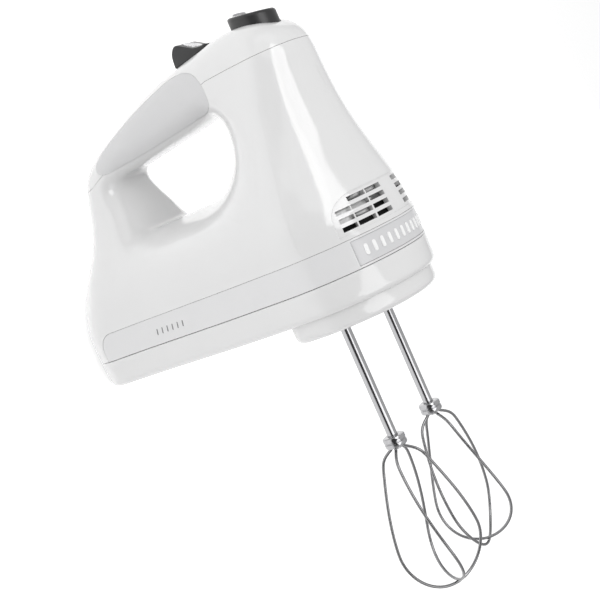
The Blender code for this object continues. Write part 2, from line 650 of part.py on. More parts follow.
def controls(root, slide, button):
    lift = 0.35
    rear = SLIDE_REAR_X
    front = rear + SLIDE_LENGTH
    lean = math.tan(math.radians(DISH_LEAN))
    face = [(x, DISH_Z - lean * (x - DISH_X)) for x in (DISH_X - 3.5, DISH_X + 4.5)]
    side = [(rear, top_z(rear) + lift), (rear + 1.0, 140.5), (rear + 3.0, 143.2), (rear + 4.8, 144.0), *face,
            (front - 3.0, top_z(front) + 2.4), (front, top_z(front) + 2.2), (front, top_z(front) + lift)]
    cap = solid("speed_slide", prism(side, -SLIDE_WIDTH / 2, SLIDE_WIDTH / 2, "y"), "charcoal", slide)
    ends = front - SLIDE_TRAVEL, front + 2.0
    roof = RAMP_HEIGHT + GAP
    tunnel = prism([(ends[0], top_z(ends[0]) - 2.0), (ends[0], top_z(ends[0]) + roof),
                    (ends[1], top_z(ends[1]) + roof), (ends[1], top_z(ends[1]) - 2.0)],
                   -TRACK_WIDTH / 2 - 0.5, TRACK_WIDTH / 2 + 0.5, "y")
    boolean(cap, tool("slide_tunnel", tunnel, slide), "DIFFERENCE")
    dish = oval(DISH_X, 0, 4.4, 5.3, 14)
    slab = [[(x, y, DISH_Z - 0.7 + h - lean * (x - DISH_X)) for x, y in dish] for h in (0.0, 6.0)]
    boolean(cap, tool("insert_pocket", loft(slab), slide), "DIFFERENCE")
    inlay = oval(DISH_X, 0, 4.0, 4.9, 14)
    rings = [[(x, y, DISH_Z - 0.35 + h - lean * (x - DISH_X)) for x, y in inlay] for h in (0.0, 0.6)]
    solid("slide_insert", loft(rings), "bright", slide)
    stem = box((rear + 1.0, -STEM_WIDTH / 2, 126.0), (rear + 1.0 + STEM_LENGTH, STEM_WIDTH / 2, 133.7))
    carrier = solid("slide_carrier", stem, "nylon", slide)
    foot = tool("carrier_foot", box((rear - 2.0, -7.0, 124.0), (rear + 12.0, 7.0, 127.0)), slide)
    boolean(carrier, foot, "UNION")
    tip = front + TRACK_LENGTH
    track = [(front + 0.6, top_z(front + 0.6) + lift), (front + 0.6, top_z(front + 0.6) + 0.7 * RAMP_HEIGHT),
             (tip - 3.0, top_z(tip - 3.0) + RAMP_HEIGHT), (tip - 0.5, top_z(tip - 0.5) + RAMP_HEIGHT),
             (tip + 0.5, top_z(tip + 0.5) + lift)]
    solid("slide_ramp", prism(track, -TRACK_WIDTH / 2, TRACK_WIDTH / 2, "y"), "charcoal", root)
    solid("switch_body", box((96.0, -9.0, 110.4), (128.0, 9.0, 118.0)), "black_nylon", root)
    spring = [(98.0, 118.3), (104.0, 118.3), (112.0, 123.0), (118.0, 118.8), (124.0, 123.0),
              (124.0, 123.5), (118.0, 119.4), (112.0, 123.6), (104.0, 118.9), (98.0, 118.9)]
    solid("detent_spring", prism(spring, -5.0, 5.0, "y"), "steel", root)

    tilt = math.tan(math.radians(BUTTON_TILT))
    rings = []
    for height, grow in ((-13.5, 0.0), (-0.9, 0.0), (0.0, -0.9)):
        rings.append([(x, y, BUTTON_TOP_Z + height - tilt * (x - BUTTON_X)) for x, y in oval(
            BUTTON_X, 0, BUTTON_LENGTH / 2 + grow, BUTTON_WIDTH / 2 + grow, 20)])
    solid("eject_button", loft(rings), "charcoal", button)
    pip = []
    for height, grow in ((GAP, 0.0), (1.3, -0.7)):
        pip.append([(x, y, BUTTON_TOP_Z + height - tilt * (x - BUTTON_X))
                    for x, y in oval(BUTTON_X - 6.0, 0, 2.8 + grow, 4.2 + grow, 10)])
    solid("eject_pip", loft(pip), "bright", button)
    bar = [(144, -25), (152, -25), (152, -6), (160, -6), (160, 6), (152, 6), (152, 25), (144, 25)]
    fork = solid("eject_fork", prism(bar, FORK_Z, FORK_Z + 4.0), "nylon", button)
    rod_top = BUTTON_TOP_Z - 13.5 - tilt * (EJECT_ROD + 1.0) - 2 * GAP
    boolean(fork, tool("eject_rod", rod(EJECT_ROD, FORK_Z + 3.0, rod_top, (155.0, 0.0), "z", 12), button), "UNION")
    for name, sign in (("right", -1), ("left", 1)):
        pin = rod(PIN_RADIUS, BEATER_TOP_Z + GAP, FORK_Z + 1.0, (SPINDLE_X, sign * SPINDLE_Y), "z", 10)
        boolean(fork, tool("eject_pin_" + name, pin, button), "UNION")
    turns, foot_z = 3.5, 46.3
    height = FORK_Z - foot_z - 2.5 * GAP
    coil = [(SPINDLE_X + 3.6 * math.cos(a), 3.6 * math.sin(a), foot_z + height * a / (2 * math.pi * turns))
            for a in (2 * math.pi * turns * k / 34 for k in range(35))]
    solid("eject_spring", tube(coil, 0.45, 5), "steel", button)


# ---------------------------------------------------------------- motor
def gear_outline(teeth, pitch, reach, root_share=0.45, tip_share=0.2):
    """Trapezoid teeth round a circle; a gap centre lies on the +x side."""
    out = []
    for k in range(teeth):
        middle = 2 * math.pi * (k + 0.5) / teeth
        half_root, half_tip = (math.pi * share / teeth for share in (root_share, tip_share))
        for angle, radius in ((middle - half_root, pitch - reach[0]), (middle - half_tip, pitch + reach[1]),
                              (middle + half_tip, pitch + reach[1]), (middle + half_root, pitch - reach[0])):
            out.append((radius * math.cos(angle), radius * math.sin(angle)))
    return out


def worm_pitch():
    return 2 * math.pi * WHEEL_PITCH_RADIUS / WHEEL_TEETH


def rotor_shaft(rotor):
    """Armature shaft with the worm rolled on its front end, turned as one skin."""
    pitch = worm_pitch()
    worm_radius = SPINDLE_Y - WHEEL_PITCH_RADIUS
    root_radius = worm_radius - TOOTH_ADDENDUM - TOOTH_CLEARANCE
    start, end = SPINDLE_X - 9.0, SPINDLE_X + 9.0
    stations = [(46.0, JOURNAL_RADIUS), (53.6, JOURNAL_RADIUS), (53.7, SHAFT_RADIUS), (132.0, SHAFT_RADIUS),
                (133.0, root_radius), (start - 0.1, root_radius)]
    steps = 27
    stations += [(start + (end - start) * k / steps, None) for k in range(steps + 1)]
    stations += [(end + 0.1, root_radius), (159.0, JOURNAL_RADIUS), (168.0, JOURNAL_RADIUS)]
    rings = []
    sides = 12
    for x, radius in stations:
        ring = []
        for k in range(sides):
            a = 2 * math.pi * k / sides
            r = radius
            if radius is None:
                phase = ((x - SPINDLE_X) / pitch - a / (2 * math.pi)) % 1.0
                from_crest = abs(phase - 0.5) * 2.0
                edge = min((x - start), (end - x)) / 1.5
                height = np.clip((0.45 - from_crest) / 0.25, 0.0, 1.0) * np.clip(edge, 0.0, 1.0)
                r = root_radius + (2 * TOOTH_ADDENDUM + TOOTH_CLEARANCE) * height
            ring.append((x, r * math.cos(a), MOTOR_Z + r * math.sin(a)))
        rings.append(ring)
    solid("rotor_shaft", loft(rings), "steel", rotor)


def motor(root, rotor):
    centre = (0.0, MOTOR_Z)
    x0, x1 = STATOR_X
    half_w, half_h = STATOR_WIDTH / 2, STATOR_HEIGHT / 2
    bore = ARMATURE_RADIUS + AIR_GAP
    outline = oval(0.0, MOTOR_Z, half_w, half_h, 28, 5.0)
    stator = solid("stator_core", prism(outline, x0, x1, "x"), "laminated", root)
    boolean(stator, tool("stator_bore", rod(bore, x0 - 5, x1 + 5, centre, "x", 28), root), "DIFFERENCE")
    for side, sign in (("right", -1), ("left", 1)):
        ys = sorted((sign * 13.2, sign * 21.8))
        window = box((x0 - 5, ys[0], MOTOR_Z - 11.5), (x1 + 5, ys[1], MOTOR_Z + 11.5))
        boolean(stator, tool("coil_window_" + side, window, root), "DIFFERENCE")
    for side, sign in (("upper", 1), ("lower", -1)):
        rows = ((x0 + 3, 17.7, 5.5), (x1 - 3, 17.7, 5.5), (x1 + 2.6, 16.5, 9.0), (x1 + 3.8, 8.5, 16.8),
                (x1 + 3.8, -8.5, 16.8), (x1 + 2.6, -16.5, 9.0), (x1 - 3, -17.7, 5.5), (x0 + 3, -17.7, 5.5),
                (x0 - 2.6, -16.5, 9.0), (x0 - 3.8, -8.5, 16.8), (x0 - 3.8, 8.5, 16.8), (x0 - 2.6, 16.5, 9.0))
        path = [(x, y, MOTOR_Z + sign * z) for x, y, z in smoothed(rows, 2, closed=True)]
        solid("field_coil_" + side, tube(path, 2.7, 8, closed=True), "copper", root)

    rotor_shaft(rotor)
    hole = SHAFT_RADIUS + GAP
    rows = gear_outline(ARMATURE_SLOTS, ARMATURE_RADIUS - 3.0, (0.0, 3.0), 0.5, 0.86)
    rings = []
    for x in (x0 + 1, x1 - 1):
        rings.append([(x, y, MOTOR_Z + z) for y, z in rows])
    core = solid("armature_core", loft(rings), "laminated", rotor)
    boolean(core, tool("core_hole", rod(hole, x0 - 5, x1 + 5, centre, "x", 14), rotor), "DIFFERENCE")
    for name, near, far in (("front", x1 - 0.7, x1 + 6.5), ("rear", x0 + 0.7, x0 - 6.5)):
        profile = [(hole, near), (12.8, near), (13.3, near * 0.5 + far * 0.5), (11.0, far), (hole, far)]
        solid("armature_winding_" + name, turned(profile, centre, "x", 16), "copper", rotor)
    commutator = turned(sleeve(hole, COMMUTATOR_RADIUS, 58.0, 69.5), centre, "x", 24)
    solid("commutator", commutator, "copper", rotor)
    blades = gear_outline(FAN_BLADES, 8.0, (0.0, FAN_RADIUS - 8.0), 0.55, 0.14)
    rings = []
    for x, turn in ((116.2, 0.0), (118.8, 0.16), (121.4, 0.32)):
        c, s = math.cos(turn), math.sin(turn)
        rings.append([(x, y * c - z * s, MOTOR_Z + y * s + z * c) for y, z in blades])
    fan = solid("cooling_fan", loft(rings), "black_nylon", rotor)
    boolean(fan, tool("fan_hole", rod(hole, 110, 130, centre, "x", 14), rotor), "DIFFERENCE")

    seats = (("rear", JOURNAL_RADIUS, 6.8, 47.0, 52.0), ("middle", SHAFT_RADIUS, 8.6, 124.4, 128.8),
             ("front", JOURNAL_RADIUS, 5.6, 161.0, 166.0))
    for name, inner, outer, low, high in seats:
        solid("bearing_" + name, turned(sleeve(inner + GAP, outer, low, high), centre, "x", 16), "bronze", root)
    for name, back, plate, stator_face, seat in (("rear", 46.5, 52.5, x0 - GAP, 6.8),
                                                 ("front", 129.5, 123.8, x1 + GAP, 8.6)):
        outline = [(back, -half_w), (stator_face, -half_w), (stator_face, -half_w + 3.2), (plate, -half_w + 3.2),
                   (plate, half_w - 3.2), (stator_face, half_w - 3.2), (stator_face, half_w), (back, half_w)]
        bracket = solid("motor_bracket_" + name, prism(outline, MOTOR_Z - 9.5, MOTOR_Z + 9.5), "aluminium", root)
        hole_tool = tool("seat_" + name, rod(seat + GAP, back - 10, back + 10, centre, "x", 16), root)
        boolean(bracket, hole_tool, "DIFFERENCE")
        if name == "rear":
            half = BRUSH_SIZE / 2 + 1.6 + GAP
            passage = box((BRUSH_X - half, -40, MOTOR_Z - half), (BRUSH_X + half, 40, MOTOR_Z + half))
            boolean(bracket, tool("holder_passage", passage, root), "DIFFERENCE")
    half = BRUSH_SIZE / 2
    for side, sign in (("right", -1), ("left", 1)):
        def span(a, b):
            return sorted((sign * a, sign * b))
        y0, y1 = span(COMMUTATOR_RADIUS + GAP, 20.0)
        block = box((BRUSH_X - half, y0, MOTOR_Z - half), (BRUSH_X + half, y1, MOTOR_Z + half))
        solid("brush_" + side, block, "carbon", root)
        y0, y1 = span(12.0, 28.5)
        outer = half + 1.6
        holder = solid("brush_holder_" + side, box((BRUSH_X - outer, y0, MOTOR_Z - outer),
                                                   (BRUSH_X + outer, y1, MOTOR_Z + outer)), "black_nylon", root)
        inner = half + GAP
        y0, y1 = span(8.0, 26.5)
        pocket = box((BRUSH_X - inner, y0, MOTOR_Z - inner), (BRUSH_X + inner, y1, MOTOR_Z + inner))
        boolean(holder, tool("brush_pocket_" + side, pocket, root), "DIFFERENCE")


# ---------------------------------------------------------------- gearbox
def gearbox(root, spindles):
    deck = (8.0, 11.0)
    outline = ((119.0, -36.0), (150.0, -36.0), (170.0, -22.0), (170.0, 22.0), (150.0, 36.0), (119.0, 36.0))
    frame = solid("gear_frame", prism(outline, *deck), "aluminium", root)
    upright = tool("front_upright", box((160.5, -6.8, 10.0), (166.5, 6.8, MOTOR_Z + 10.0)), root)
    boolean(frame, upright, "UNION")
    boolean(frame, tool("front_seat", rod(5.6 + GAP, 150.0, 175.0, (0.0, MOTOR_Z), "x", 16), root), "DIFFERENCE")
    bridge_z = MOTOR_Z + 10.0 + GAP
    outline = ((122.4, -35.0), (150.0, -35.0), (168.0, -16.0), (168.0, 16.0), (150.0, 35.0), (122.4, 35.0))
    bridge = solid("gear_bridge", prism(outline, bridge_z, bridge_z + 3.0), "aluminium", root)
    well = turned([(4.6, bridge_z + 1.0), (6.6, bridge_z + 1.0), (6.6, 38.9), (0.0, 38.9), (0.0, 39.8), (4.6, 39.8)],
                  (SPINDLE_X, 0.0), "z", 14)
    mouth = rod(4.6, bridge_z - 1.0, bridge_z + 6.0, (SPINDLE_X, 0.0), "z", 14)
    boolean(bridge, tool("spring_mouth", mouth, root), "DIFFERENCE")
    boolean(bridge, tool("spring_well", well, root), "UNION")
    for side, sign in (("right", -1), ("left", 1)):
        centre = (SPINDLE_X, sign * SPINDLE_Y)
        pillar = rod(3.4, 10.0, bridge_z - GAP, (125.0, sign * 31.2), "z", 10)
        boolean(frame, tool("pillar_" + side, pillar, root), "UNION")
        clear = rod(SPINDLE_RADIUS + 2 * GAP, 0.0, 20.0, centre, "z", 16)
        boolean(frame, tool("spindle_clear_" + side, clear, root), "DIFFERENCE")
        seat = rod(SPINDLE_RADIUS + 2.5 + GAP, 30.0, 60.0, centre, "z", 16)
        boolean(bridge, tool("bearing_clear_" + side, seat, root), "DIFFERENCE")
        ring = turned(sleeve(SPINDLE_RADIUS + GAP, SPINDLE_RADIUS + 2.5, bridge_z - 1.0, bridge_z + 3.5),
                      centre, "z", 16)
        solid("top_bush_" + side, ring, "bronze", root)

        axis = spindles[side]
        low, high = MOTOR_Z - WHEEL_THICKNESS / 2, MOTOR_Z + WHEEL_THICKNESS / 2
        lead = worm_pitch() / (2 * math.pi * (SPINDLE_Y - WHEEL_PITCH_RADIUS)) / WHEEL_PITCH_RADIUS
        teeth = gear_outline(WHEEL_TEETH, WHEEL_PITCH_RADIUS, (TOOTH_ADDENDUM + TOOTH_CLEARANCE, TOOTH_ADDENDUM))
        rings = []
        for z in (low, high):
            turn = lead * (z - MOTOR_Z) + wheel_phase(side)
            c, s = math.cos(turn), math.sin(turn)
            rings.append([(centre[0] + x * c - y * s, centre[1] + x * s + y * c, z) for x, y in teeth])
        wheel = solid("worm_wheel_" + side, loft(rings), "nylon", axis)
        hub = rod(SPINDLE_RADIUS + GAP, 0.0, 60.0, centre, "z", 16)
        boolean(wheel, tool("hub_hole_" + side, hub, axis), "DIFFERENCE")
        bore = BEATER_RADIUS + 2 * GAP
        profile = [(bore, -BLOCK_DEPTH + 0.2), (SOCKET_RADIUS, -BLOCK_DEPTH + 0.2), (SOCKET_RADIUS, 4.0),
                   (SPINDLE_RADIUS, 4.6), (SPINDLE_RADIUS, bridge_z + 4.5), (bore, bridge_z + 4.5)]
        spindle = solid("spindle_" + side, turned(profile, centre, "z", 16), "steel", axis)
        keyway = box((centre[0] - 1.5, centre[1] - 5.4, -20.0), (centre[0] + 1.5, centre[1] + 5.4, 4.0))
        boolean(spindle, tool("keyway_" + side, keyway, axis), "DIFFERENCE")


def wheel_phase(side):
    """Turn each wheel so that a gap centre meets a worm crest in the plane of the shaft."""
    step = 2 * math.pi / WHEEL_TEETH
    pitch = worm_pitch()
    crest = 0.5 if side == "left" else 0.0
    offset = ((crest + 0.5) % 1.0 - 0.5) * pitch / WHEEL_PITCH_RADIUS
    toward = -math.pi / 2 if side == "left" else math.pi / 2
    return (toward + (offset if side == "left" else -offset)) % step


# ---------------------------------------------------------------- beaters
def loop_radius(drop):
    """Distance of a wire from the beater's axis, drop millimetres under the collar."""
    length = COLLAR_Z[0] - LOOP_BOTTOM_Z
    neck, waist = 4.5, length - 23.0
    if drop < neck:
        return 3.6 + (LOOP_SHOULDER - 3.6) * math.sin(math.pi / 2 * drop / neck)
    if drop < waist:
        return LOOP_SHOULDER + (LOOP_RADIUS - LOOP_SHOULDER) * math.sin(
            math.pi / 2 * ((drop - neck) / (waist - neck)) ** 0.9)
    return LOOP_RADIUS * math.sqrt(max(0.0, 1.0 - ((drop - waist) / (length - waist)) ** 2))


def loop_path(centre, angle, shorten, points=19):
    length = COLLAR_Z[0] - LOOP_BOTTOM_Z
    leg = []
    for k in range(points):
        share = math.sin(math.pi / 2 * k / (points - 1)) ** 1.15
        drop = length * share
        turn = math.radians(angle + LOOP_TWIST * share)
        r = loop_radius(drop)
        z = COLLAR_Z[0] - GAP - WIRE_RADIUS - share * (length - shorten - GAP - 2 * WIRE_RADIUS)
        leg.append((r * math.cos(turn), r * math.sin(turn), z))
    back = [(-x, -y, z) for x, y, z in leg[-2::-1]]
    return [(centre[0] + x, centre[1] + y, z) for x, y, z in leg + back]


def beaters(holders):
    for side, sign in (("right", -1), ("left", 1)):
        centre = (SPINDLE_X, sign * SPINDLE_Y)
        holder = holders[side]
        r = BEATER_RADIUS
        profile = [(0.0, BEATER_TOP_Z), (r - 0.8, BEATER_TOP_Z), (r, BEATER_TOP_Z - 1.5), (r, 14.5), (r - 0.5, 14.0),
                   (r - 0.5, 12.5), (r, 12.0), (r, COLLAR_Z[0] + 1.0), (0.0, COLLAR_Z[0] + 1.0)]
        shaft = solid("beater_shaft_" + side, turned(profile[::-1], centre, "z", 14), "stainless", holder)
        lug = box((centre[0] - 0.9, centre[1] - 4.6, -5.5), (centre[0] + 0.9, centre[1] + 4.6, -0.5))
        boolean(shaft, tool("drive_lug_" + side, lug, holder), "UNION")
        low, high = COLLAR_Z
        collar = [(r + GAP, low), (COLLAR_RADIUS - 0.6, low), (COLLAR_RADIUS, low + 0.7), (COLLAR_RADIUS, high - 0.7),
                  (COLLAR_RADIUS - 0.6, high), (r + GAP, high)]
        solid("beater_collar_" + side, turned(collar, centre, "z", 16), "stainless", holder)
        for letter, quarter, shorten in (("a", 0.0, 0.0), ("b", 90.0, 2 * WIRE_RADIUS + GAP)):
            path = loop_path(centre, LEG_ANGLES[side] + quarter, shorten)
            solid(f"beater_wire_{side}_{letter}", tube(path, WIRE_RADIUS, 5), "stainless", holder)


# ---------------------------------------------------------------- assembly
def build():
    clear_scene()
    frame = empty("mixer_frame")
    frame.rotation_euler = (0.0, math.radians(-90.0), 0.0)
    frame.location = Vector((HEEL_Z, 0.0, 0.0)) * MM
    root = empty("housing_origin", parent=frame)
    rotor = empty("rotor_axis", (SPINDLE_X, 0.0, MOTOR_Z), frame)
    slide = empty("slide_axis", (SLIDE_REAR_X, 0.0, 134.0), frame)
    button = empty("eject_axis", (BUTTON_X, 0.0, FORK_Z), frame)
    sides = (("right", -1), ("left", 1))
    spindles = {s: empty("spindle_axis_" + s, (SPINDLE_X, k * SPINDLE_Y, MOTOR_Z), frame) for s, k in sides}
    holders = {s: empty("beater_axis_" + s, (SPINDLE_X, k * SPINDLE_Y, 0.0), frame) for s, k in sides}
    casings(root)
    base(root)
    controls(root, slide, button)
    motor(root, rotor)
    gearbox(root, spindles)
    beaters(holders)


build()
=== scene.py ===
"""Hand mixer, standing on its heel: what it looks like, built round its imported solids."""
import math

import bmesh
import bpy
import numpy as np
from mathutils import Matrix, Vector


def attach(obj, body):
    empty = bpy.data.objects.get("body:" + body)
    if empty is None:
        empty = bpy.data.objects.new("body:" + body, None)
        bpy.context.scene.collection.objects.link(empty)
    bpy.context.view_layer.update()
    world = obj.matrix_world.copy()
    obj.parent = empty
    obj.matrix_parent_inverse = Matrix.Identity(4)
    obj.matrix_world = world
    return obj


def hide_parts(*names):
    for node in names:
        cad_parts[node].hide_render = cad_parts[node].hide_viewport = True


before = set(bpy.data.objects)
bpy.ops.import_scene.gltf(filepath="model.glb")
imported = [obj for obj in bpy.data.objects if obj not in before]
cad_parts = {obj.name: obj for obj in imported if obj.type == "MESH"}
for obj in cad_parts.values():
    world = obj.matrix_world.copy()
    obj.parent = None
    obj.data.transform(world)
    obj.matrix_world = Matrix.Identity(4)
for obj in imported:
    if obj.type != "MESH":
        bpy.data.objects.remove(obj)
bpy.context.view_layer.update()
scene = bpy.context.scene

# ------------------------------------------------------------------ camera
# Shapes below are written as the mixer is held in use, in millimetres: x to the nose, y to the
# left, z up from the underside.  It is stored standing on its heel; row() makes that turn.
HEEL_MIDDLE = 27.0


def row(x, y, z):
    return Vector(((HEEL_MIDDLE - z) * 0.001, y * 0.001, x * 0.001))


def row_way(x, y, z):
    return Vector((-z, y, x))


turn, rise, lean = math.radians(35.0), math.radians(6.0), math.radians(24.0)
back = Vector((math.sin(turn) * math.cos(rise), -math.cos(turn) * math.cos(rise), math.sin(rise)))
level = Vector((math.cos(turn), math.sin(turn), 0.0))
upward = back.cross(level)
across = level * math.cos(lean) - upward * math.sin(lean)
above = level * math.sin(lean) + upward * math.cos(lean)
LOOK_AT, DISTANCE = Vector((116.0, 0.0, 6.0)), 600.0
eye = LOOK_AT + back * DISTANCE
camera = bpy.data.objects.new("camera", bpy.data.cameras.new("camera"))
camera.data.lens, camera.data.sensor_width = 72.0, 36.0
camera.data.clip_start, camera.data.clip_end = 0.01, 50.0
axes = Matrix([row_way(*v) for v in (across, above, back)]).transposed()
camera.matrix_world = Matrix.Translation(row(*eye)) @ axes.to_4x4()
scene.collection.objects.link(camera)
scene.camera = camera

# ------------------------------------------------------------------ floor and light
# A white table top under the heel and a bright room.  Of five soft boxes, the key stands over
# the right of the controls, one ahead of the nose draws the long highlight down the shoulder,
# one lights the front from below, and two weak ones stand on the right and on the left.
def join_up(tree, *ways):
    """Link nodes, each way as (from, its output, to, its input)."""
    for start, output, end, into in ways:
        tree.links.new(start.outputs[output], end.inputs[into])


scene.view_settings.view_transform = "Standard"
top = bpy.data.meshes.new("floor")
half = 6.0       # metres, half of its side
top.from_pydata([(-half, -half, 0), (half, -half, 0), (half, half, 0), (-half, half, 0)], [], [(0, 1, 2, 3)])
floor = bpy.data.objects.new("floor", top)
scene.collection.objects.link(floor)
pale = bpy.data.materials.new("table_top")
pale.use_nodes = True
shader = pale.node_tree.nodes["Principled BSDF"]
shader.inputs["Base Color"].default_value = (0.95, 0.95, 0.95, 1.0)
shader.inputs["Emission Color"].default_value = (1.0, 1.0, 1.0, 1.0)
shader.inputs["Emission Strength"].default_value = 0.4
shader.inputs["Roughness"].default_value = 0.9
shader.inputs["Specular IOR Level"].default_value = 0.1
top.materials.append(pale)

room = bpy.data.worlds.new("room")
scene.world = room
room.use_nodes = True
nodes = room.node_tree.nodes
backdrop = nodes["Background"]
backdrop.inputs["Strength"].default_value = 0.74
spread, split, ramp = (nodes.new("ShaderNode" + kind) for kind in ("TexCoord", "SeparateXYZ", "ValToRGB"))
low_end, high_end = ramp.color_ramp.elements
low_end.position, low_end.color = 0.05, (0.62, 0.62, 0.63, 1.0)
high_end.position, high_end.color = 0.75, (1.0, 1.0, 1.0, 1.0)
# the open side of the room, where the camera stands, is unlit
facing, shade, mixed = (nodes.new("ShaderNode" + kind) for kind in ("VectorMath", "MapRange", "Mix"))
facing.operation = "DOT_PRODUCT"
facing.inputs[1].default_value = row_way(*back)
shade.interpolation_type = "SMOOTHSTEP"
shade.inputs["From Min"].default_value, shade.inputs["From Max"].default_value = 0.55, 0.9
mixed.data_type = "RGBA"
mixed.inputs[7].default_value = (0.10, 0.10, 0.10, 1.0)
join_up(room.node_tree, (spread, "Generated", split, "Vector"), (split, "Z", ramp, "Fac"),
        (spread, "Generated", facing, 0), (facing, "Value", shade, "Value"),
        (shade, "Result", mixed, "Factor"), (ramp, "Color", mixed, 6), (mixed, 2, backdrop, "Color"))


def soft_box(name, at, aim, size, power):
    light = bpy.data.lights.new(name, "AREA")
    light.shape = "RECTANGLE"
    light.size, light.size_y = size
    light.energy = power
    lamp = bpy.data.objects.new(name, light)
    lamp.matrix_world = Matrix.Translation(at) @ (aim - at).to_track_quat("-Z", "Y").to_matrix().to_4x4()
    lamp.visible_camera = False
    scene.collection.objects.link(lamp)


middle = row(110.0, 0.0, 40.0)
soft_box("key", row(520.0, -380.0, 620.0), middle, (0.7, 0.7), 1.2)
soft_box("shoulder_box", row(945.0, -425.0, 326.0), middle, (0.5, 0.5), 2.9)
soft_box("low_front", row(860.0, -360.0, -300.0), middle, (0.5, 0.5), 1.7)
soft_box("side_strip", row(50.0, -740.0, 520.0), middle, (0.5, 0.5), 0.15)
soft_box("rear_fill", row(250.0, 700.0, 300.0), middle, (0.8, 0.8), 0.3)

# ------------------------------------------------------------------ finishes
# Every moulding and metal here has marks of how it was made: the slight cloudiness and orange
# peel of a moulding, or the drawn lines of bar and wire.  Two shader groups hold those marks.
def new_group(name, inputs, outputs):
    group = bpy.data.node_groups.new(name, "ShaderNodeTree")
    for label, kind, value in inputs:
        made = group.interface.new_socket(label, in_out="INPUT", socket_type=kind)
        made.default_value = value
    for label, kind in outputs:
        group.interface.new_socket(label, in_out="OUTPUT", socket_type=kind)
    return group, group.nodes.new("NodeGroupInput"), group.nodes.new("NodeGroupOutput")


def put_out(group, given, result, tone_noise, bump_noise, depth, distance):
    """From a noise to the tone, gloss and bump that a group gives."""
    less, tone, gloss, bump = (group.nodes.new("ShaderNode" + kind) for kind in ("Math",) * 3 + ("Bump",))
    less.operation, less.inputs[1].default_value = "SUBTRACT", 0.5
    tone.operation, tone.inputs[2].default_value = "MULTIPLY_ADD", 1.0
    gloss.operation = "MULTIPLY"
    bump.inputs["Distance"].default_value = distance
    join_up(group, (tone_noise, "Fac", less, 0), (less, 0, tone, 0), (given, "Tone change", tone, 1),
            (less, 0, gloss, 0), (given, "Gloss change", gloss, 1), (given, depth, bump, "Strength"),
            (bump_noise, "Fac", bump, "Height"), (tone, 0, result, "Tone"), (gloss, 0, result, "Gloss"),
            (bump, "Normal", result, "Normal"))


number, arrow = "NodeSocketFloat", "NodeSocketVector"
marks_out = (("Tone", number), ("Gloss", number), ("Normal", arrow))
moulding, given, result = new_group(
    "moulding_marks",
    (("Cloud size", number, 60.0), ("Peel size", number, 900.0), ("Peel depth", number, 0.1),
     ("Tone change", number, 0.03), ("Gloss change", number, 0.06)), marks_out)
place, cloud, peel = (moulding.nodes.new("ShaderNodeTex" + kind) for kind in ("Coord", "Noise", "Noise"))
cloud.inputs["Detail"].default_value, peel.inputs["Detail"].default_value = 4.0, 2.0
join_up(moulding, (place, "Object", cloud, "Vector"), (place, "Object", peel, "Vector"),
        (given, "Cloud size", cloud, "Scale"), (given, "Peel size", peel, "Scale"))
put_out(moulding, given, result, cloud, peel, "Peel depth", 0.0002)

drawn, given, result = new_group(
    "drawn_marks",
    (("Stretch", arrow, (60.0, 4000.0, 4000.0)), ("Depth", number, 0.15), ("Tone change", number, 0.1),
     ("Gloss change", number, 0.1)), marks_out)
place, scale, lines = (drawn.nodes.new("ShaderNode" + kind)
                       for kind in ("TexCoord", "VectorMath", "TexNoise"))
scale.operation = "MULTIPLY"
lines.inputs["Scale"].default_value, lines.inputs["Detail"].default_value = 1.0, 3.0
join_up(drawn, (place, "Object", scale, 0), (given, "Stretch", scale, 1), (scale, 0, lines, "Vector"))
put_out(drawn, given, result, lines, lines, "Depth", 0.0001)


def finish(name, colour, roughness, metallic=0.0, coat=0.0, marks=moulding, **values):
    made = bpy.data.materials.new(name)
    made.use_nodes = True
    made.diffuse_color = (*colour, 1.0)
    n = made.node_tree.nodes
    shader = n["Principled BSDF"]
    shader.inputs["Metallic"].default_value = metallic
    shader.inputs["Coat Weight"].default_value = coat
    shader.inputs["Coat Roughness"].default_value = 0.08
    group = n.new("ShaderNodeGroup")
    group.node_tree = marks
    for label, value in values.items():
        group.inputs[label.replace("_", " ")].default_value = value
    tint = n.new("ShaderNodeVectorMath")
    tint.operation = "SCALE"
    tint.inputs[0].default_value = colour
    rough = n.new("ShaderNodeMath")
    rough.operation, rough.use_clamp = "ADD", True
    rough.inputs[1].default_value = roughness
    join_up(made.node_tree, (group, "Tone", tint, "Scale"), (tint, 0, shader, "Base Color"),
            (group, "Gloss", rough, 0), (rough, 0, shader, "Roughness"), (group, "Normal", shader, "Normal"))
    return made


white = finish("glossy_white_moulding", (0.72, 0.72, 0.72), 0.12, coat=0.4, Peel_depth=0.03)
trim_white = finish("trim_moulding", (0.70, 0.70, 0.705), 0.18, coat=0.25, Peel_depth=0.05)

# ------------------------------------------------------------------ body shape
# The casings share one outer skin: a closed-loop handle running into the motor head.  Its side
# view is a drawn profile, and its half width follows the height, rounded off to every edge.
GAP = 0.3
WALL = 3.4
PARTING = 14.0
# x, z, edge radius, flat share of the width
OUTER = ((0, -30, 24, .50), (0, -10, 24, .50), (0, 4, 23, .50), (0, 20, 22, .52), (0, 34, 24, .45),
         (.6, 46, 28, .25), (9, 59, 22, .20), (19.5, 71, 15, .25), (23.5, 84, 13, .25), (25.5, 96, 13, .22),
         (30, 107, 14, .18), (42, 115, 15, .15), (58, 121.2, 15, .15), (76, 127.2, 15, .15),
         (97, 132.25, 15, .25), (112, 134, 14, .42), (128, 135.87, 14, .45), (142, 137.5, 14, .45),
         (156, 136.6, 15, .42), (167, 133, 17, .35), (174, 127, 20, .22), (177, 119, 23, .10),
         (178.2, 106, 28, 0), (179, 92, 33, 0), (181, 77, 38, 0), (184.5, 61, 43, 0), (188, 46, 46, 0),
         (189.8, 32, 47, 0), (190, 18, 47, 0), (190, 0, 47, 0), (190, -14, 47, 0), (190, -30, 47, 0))
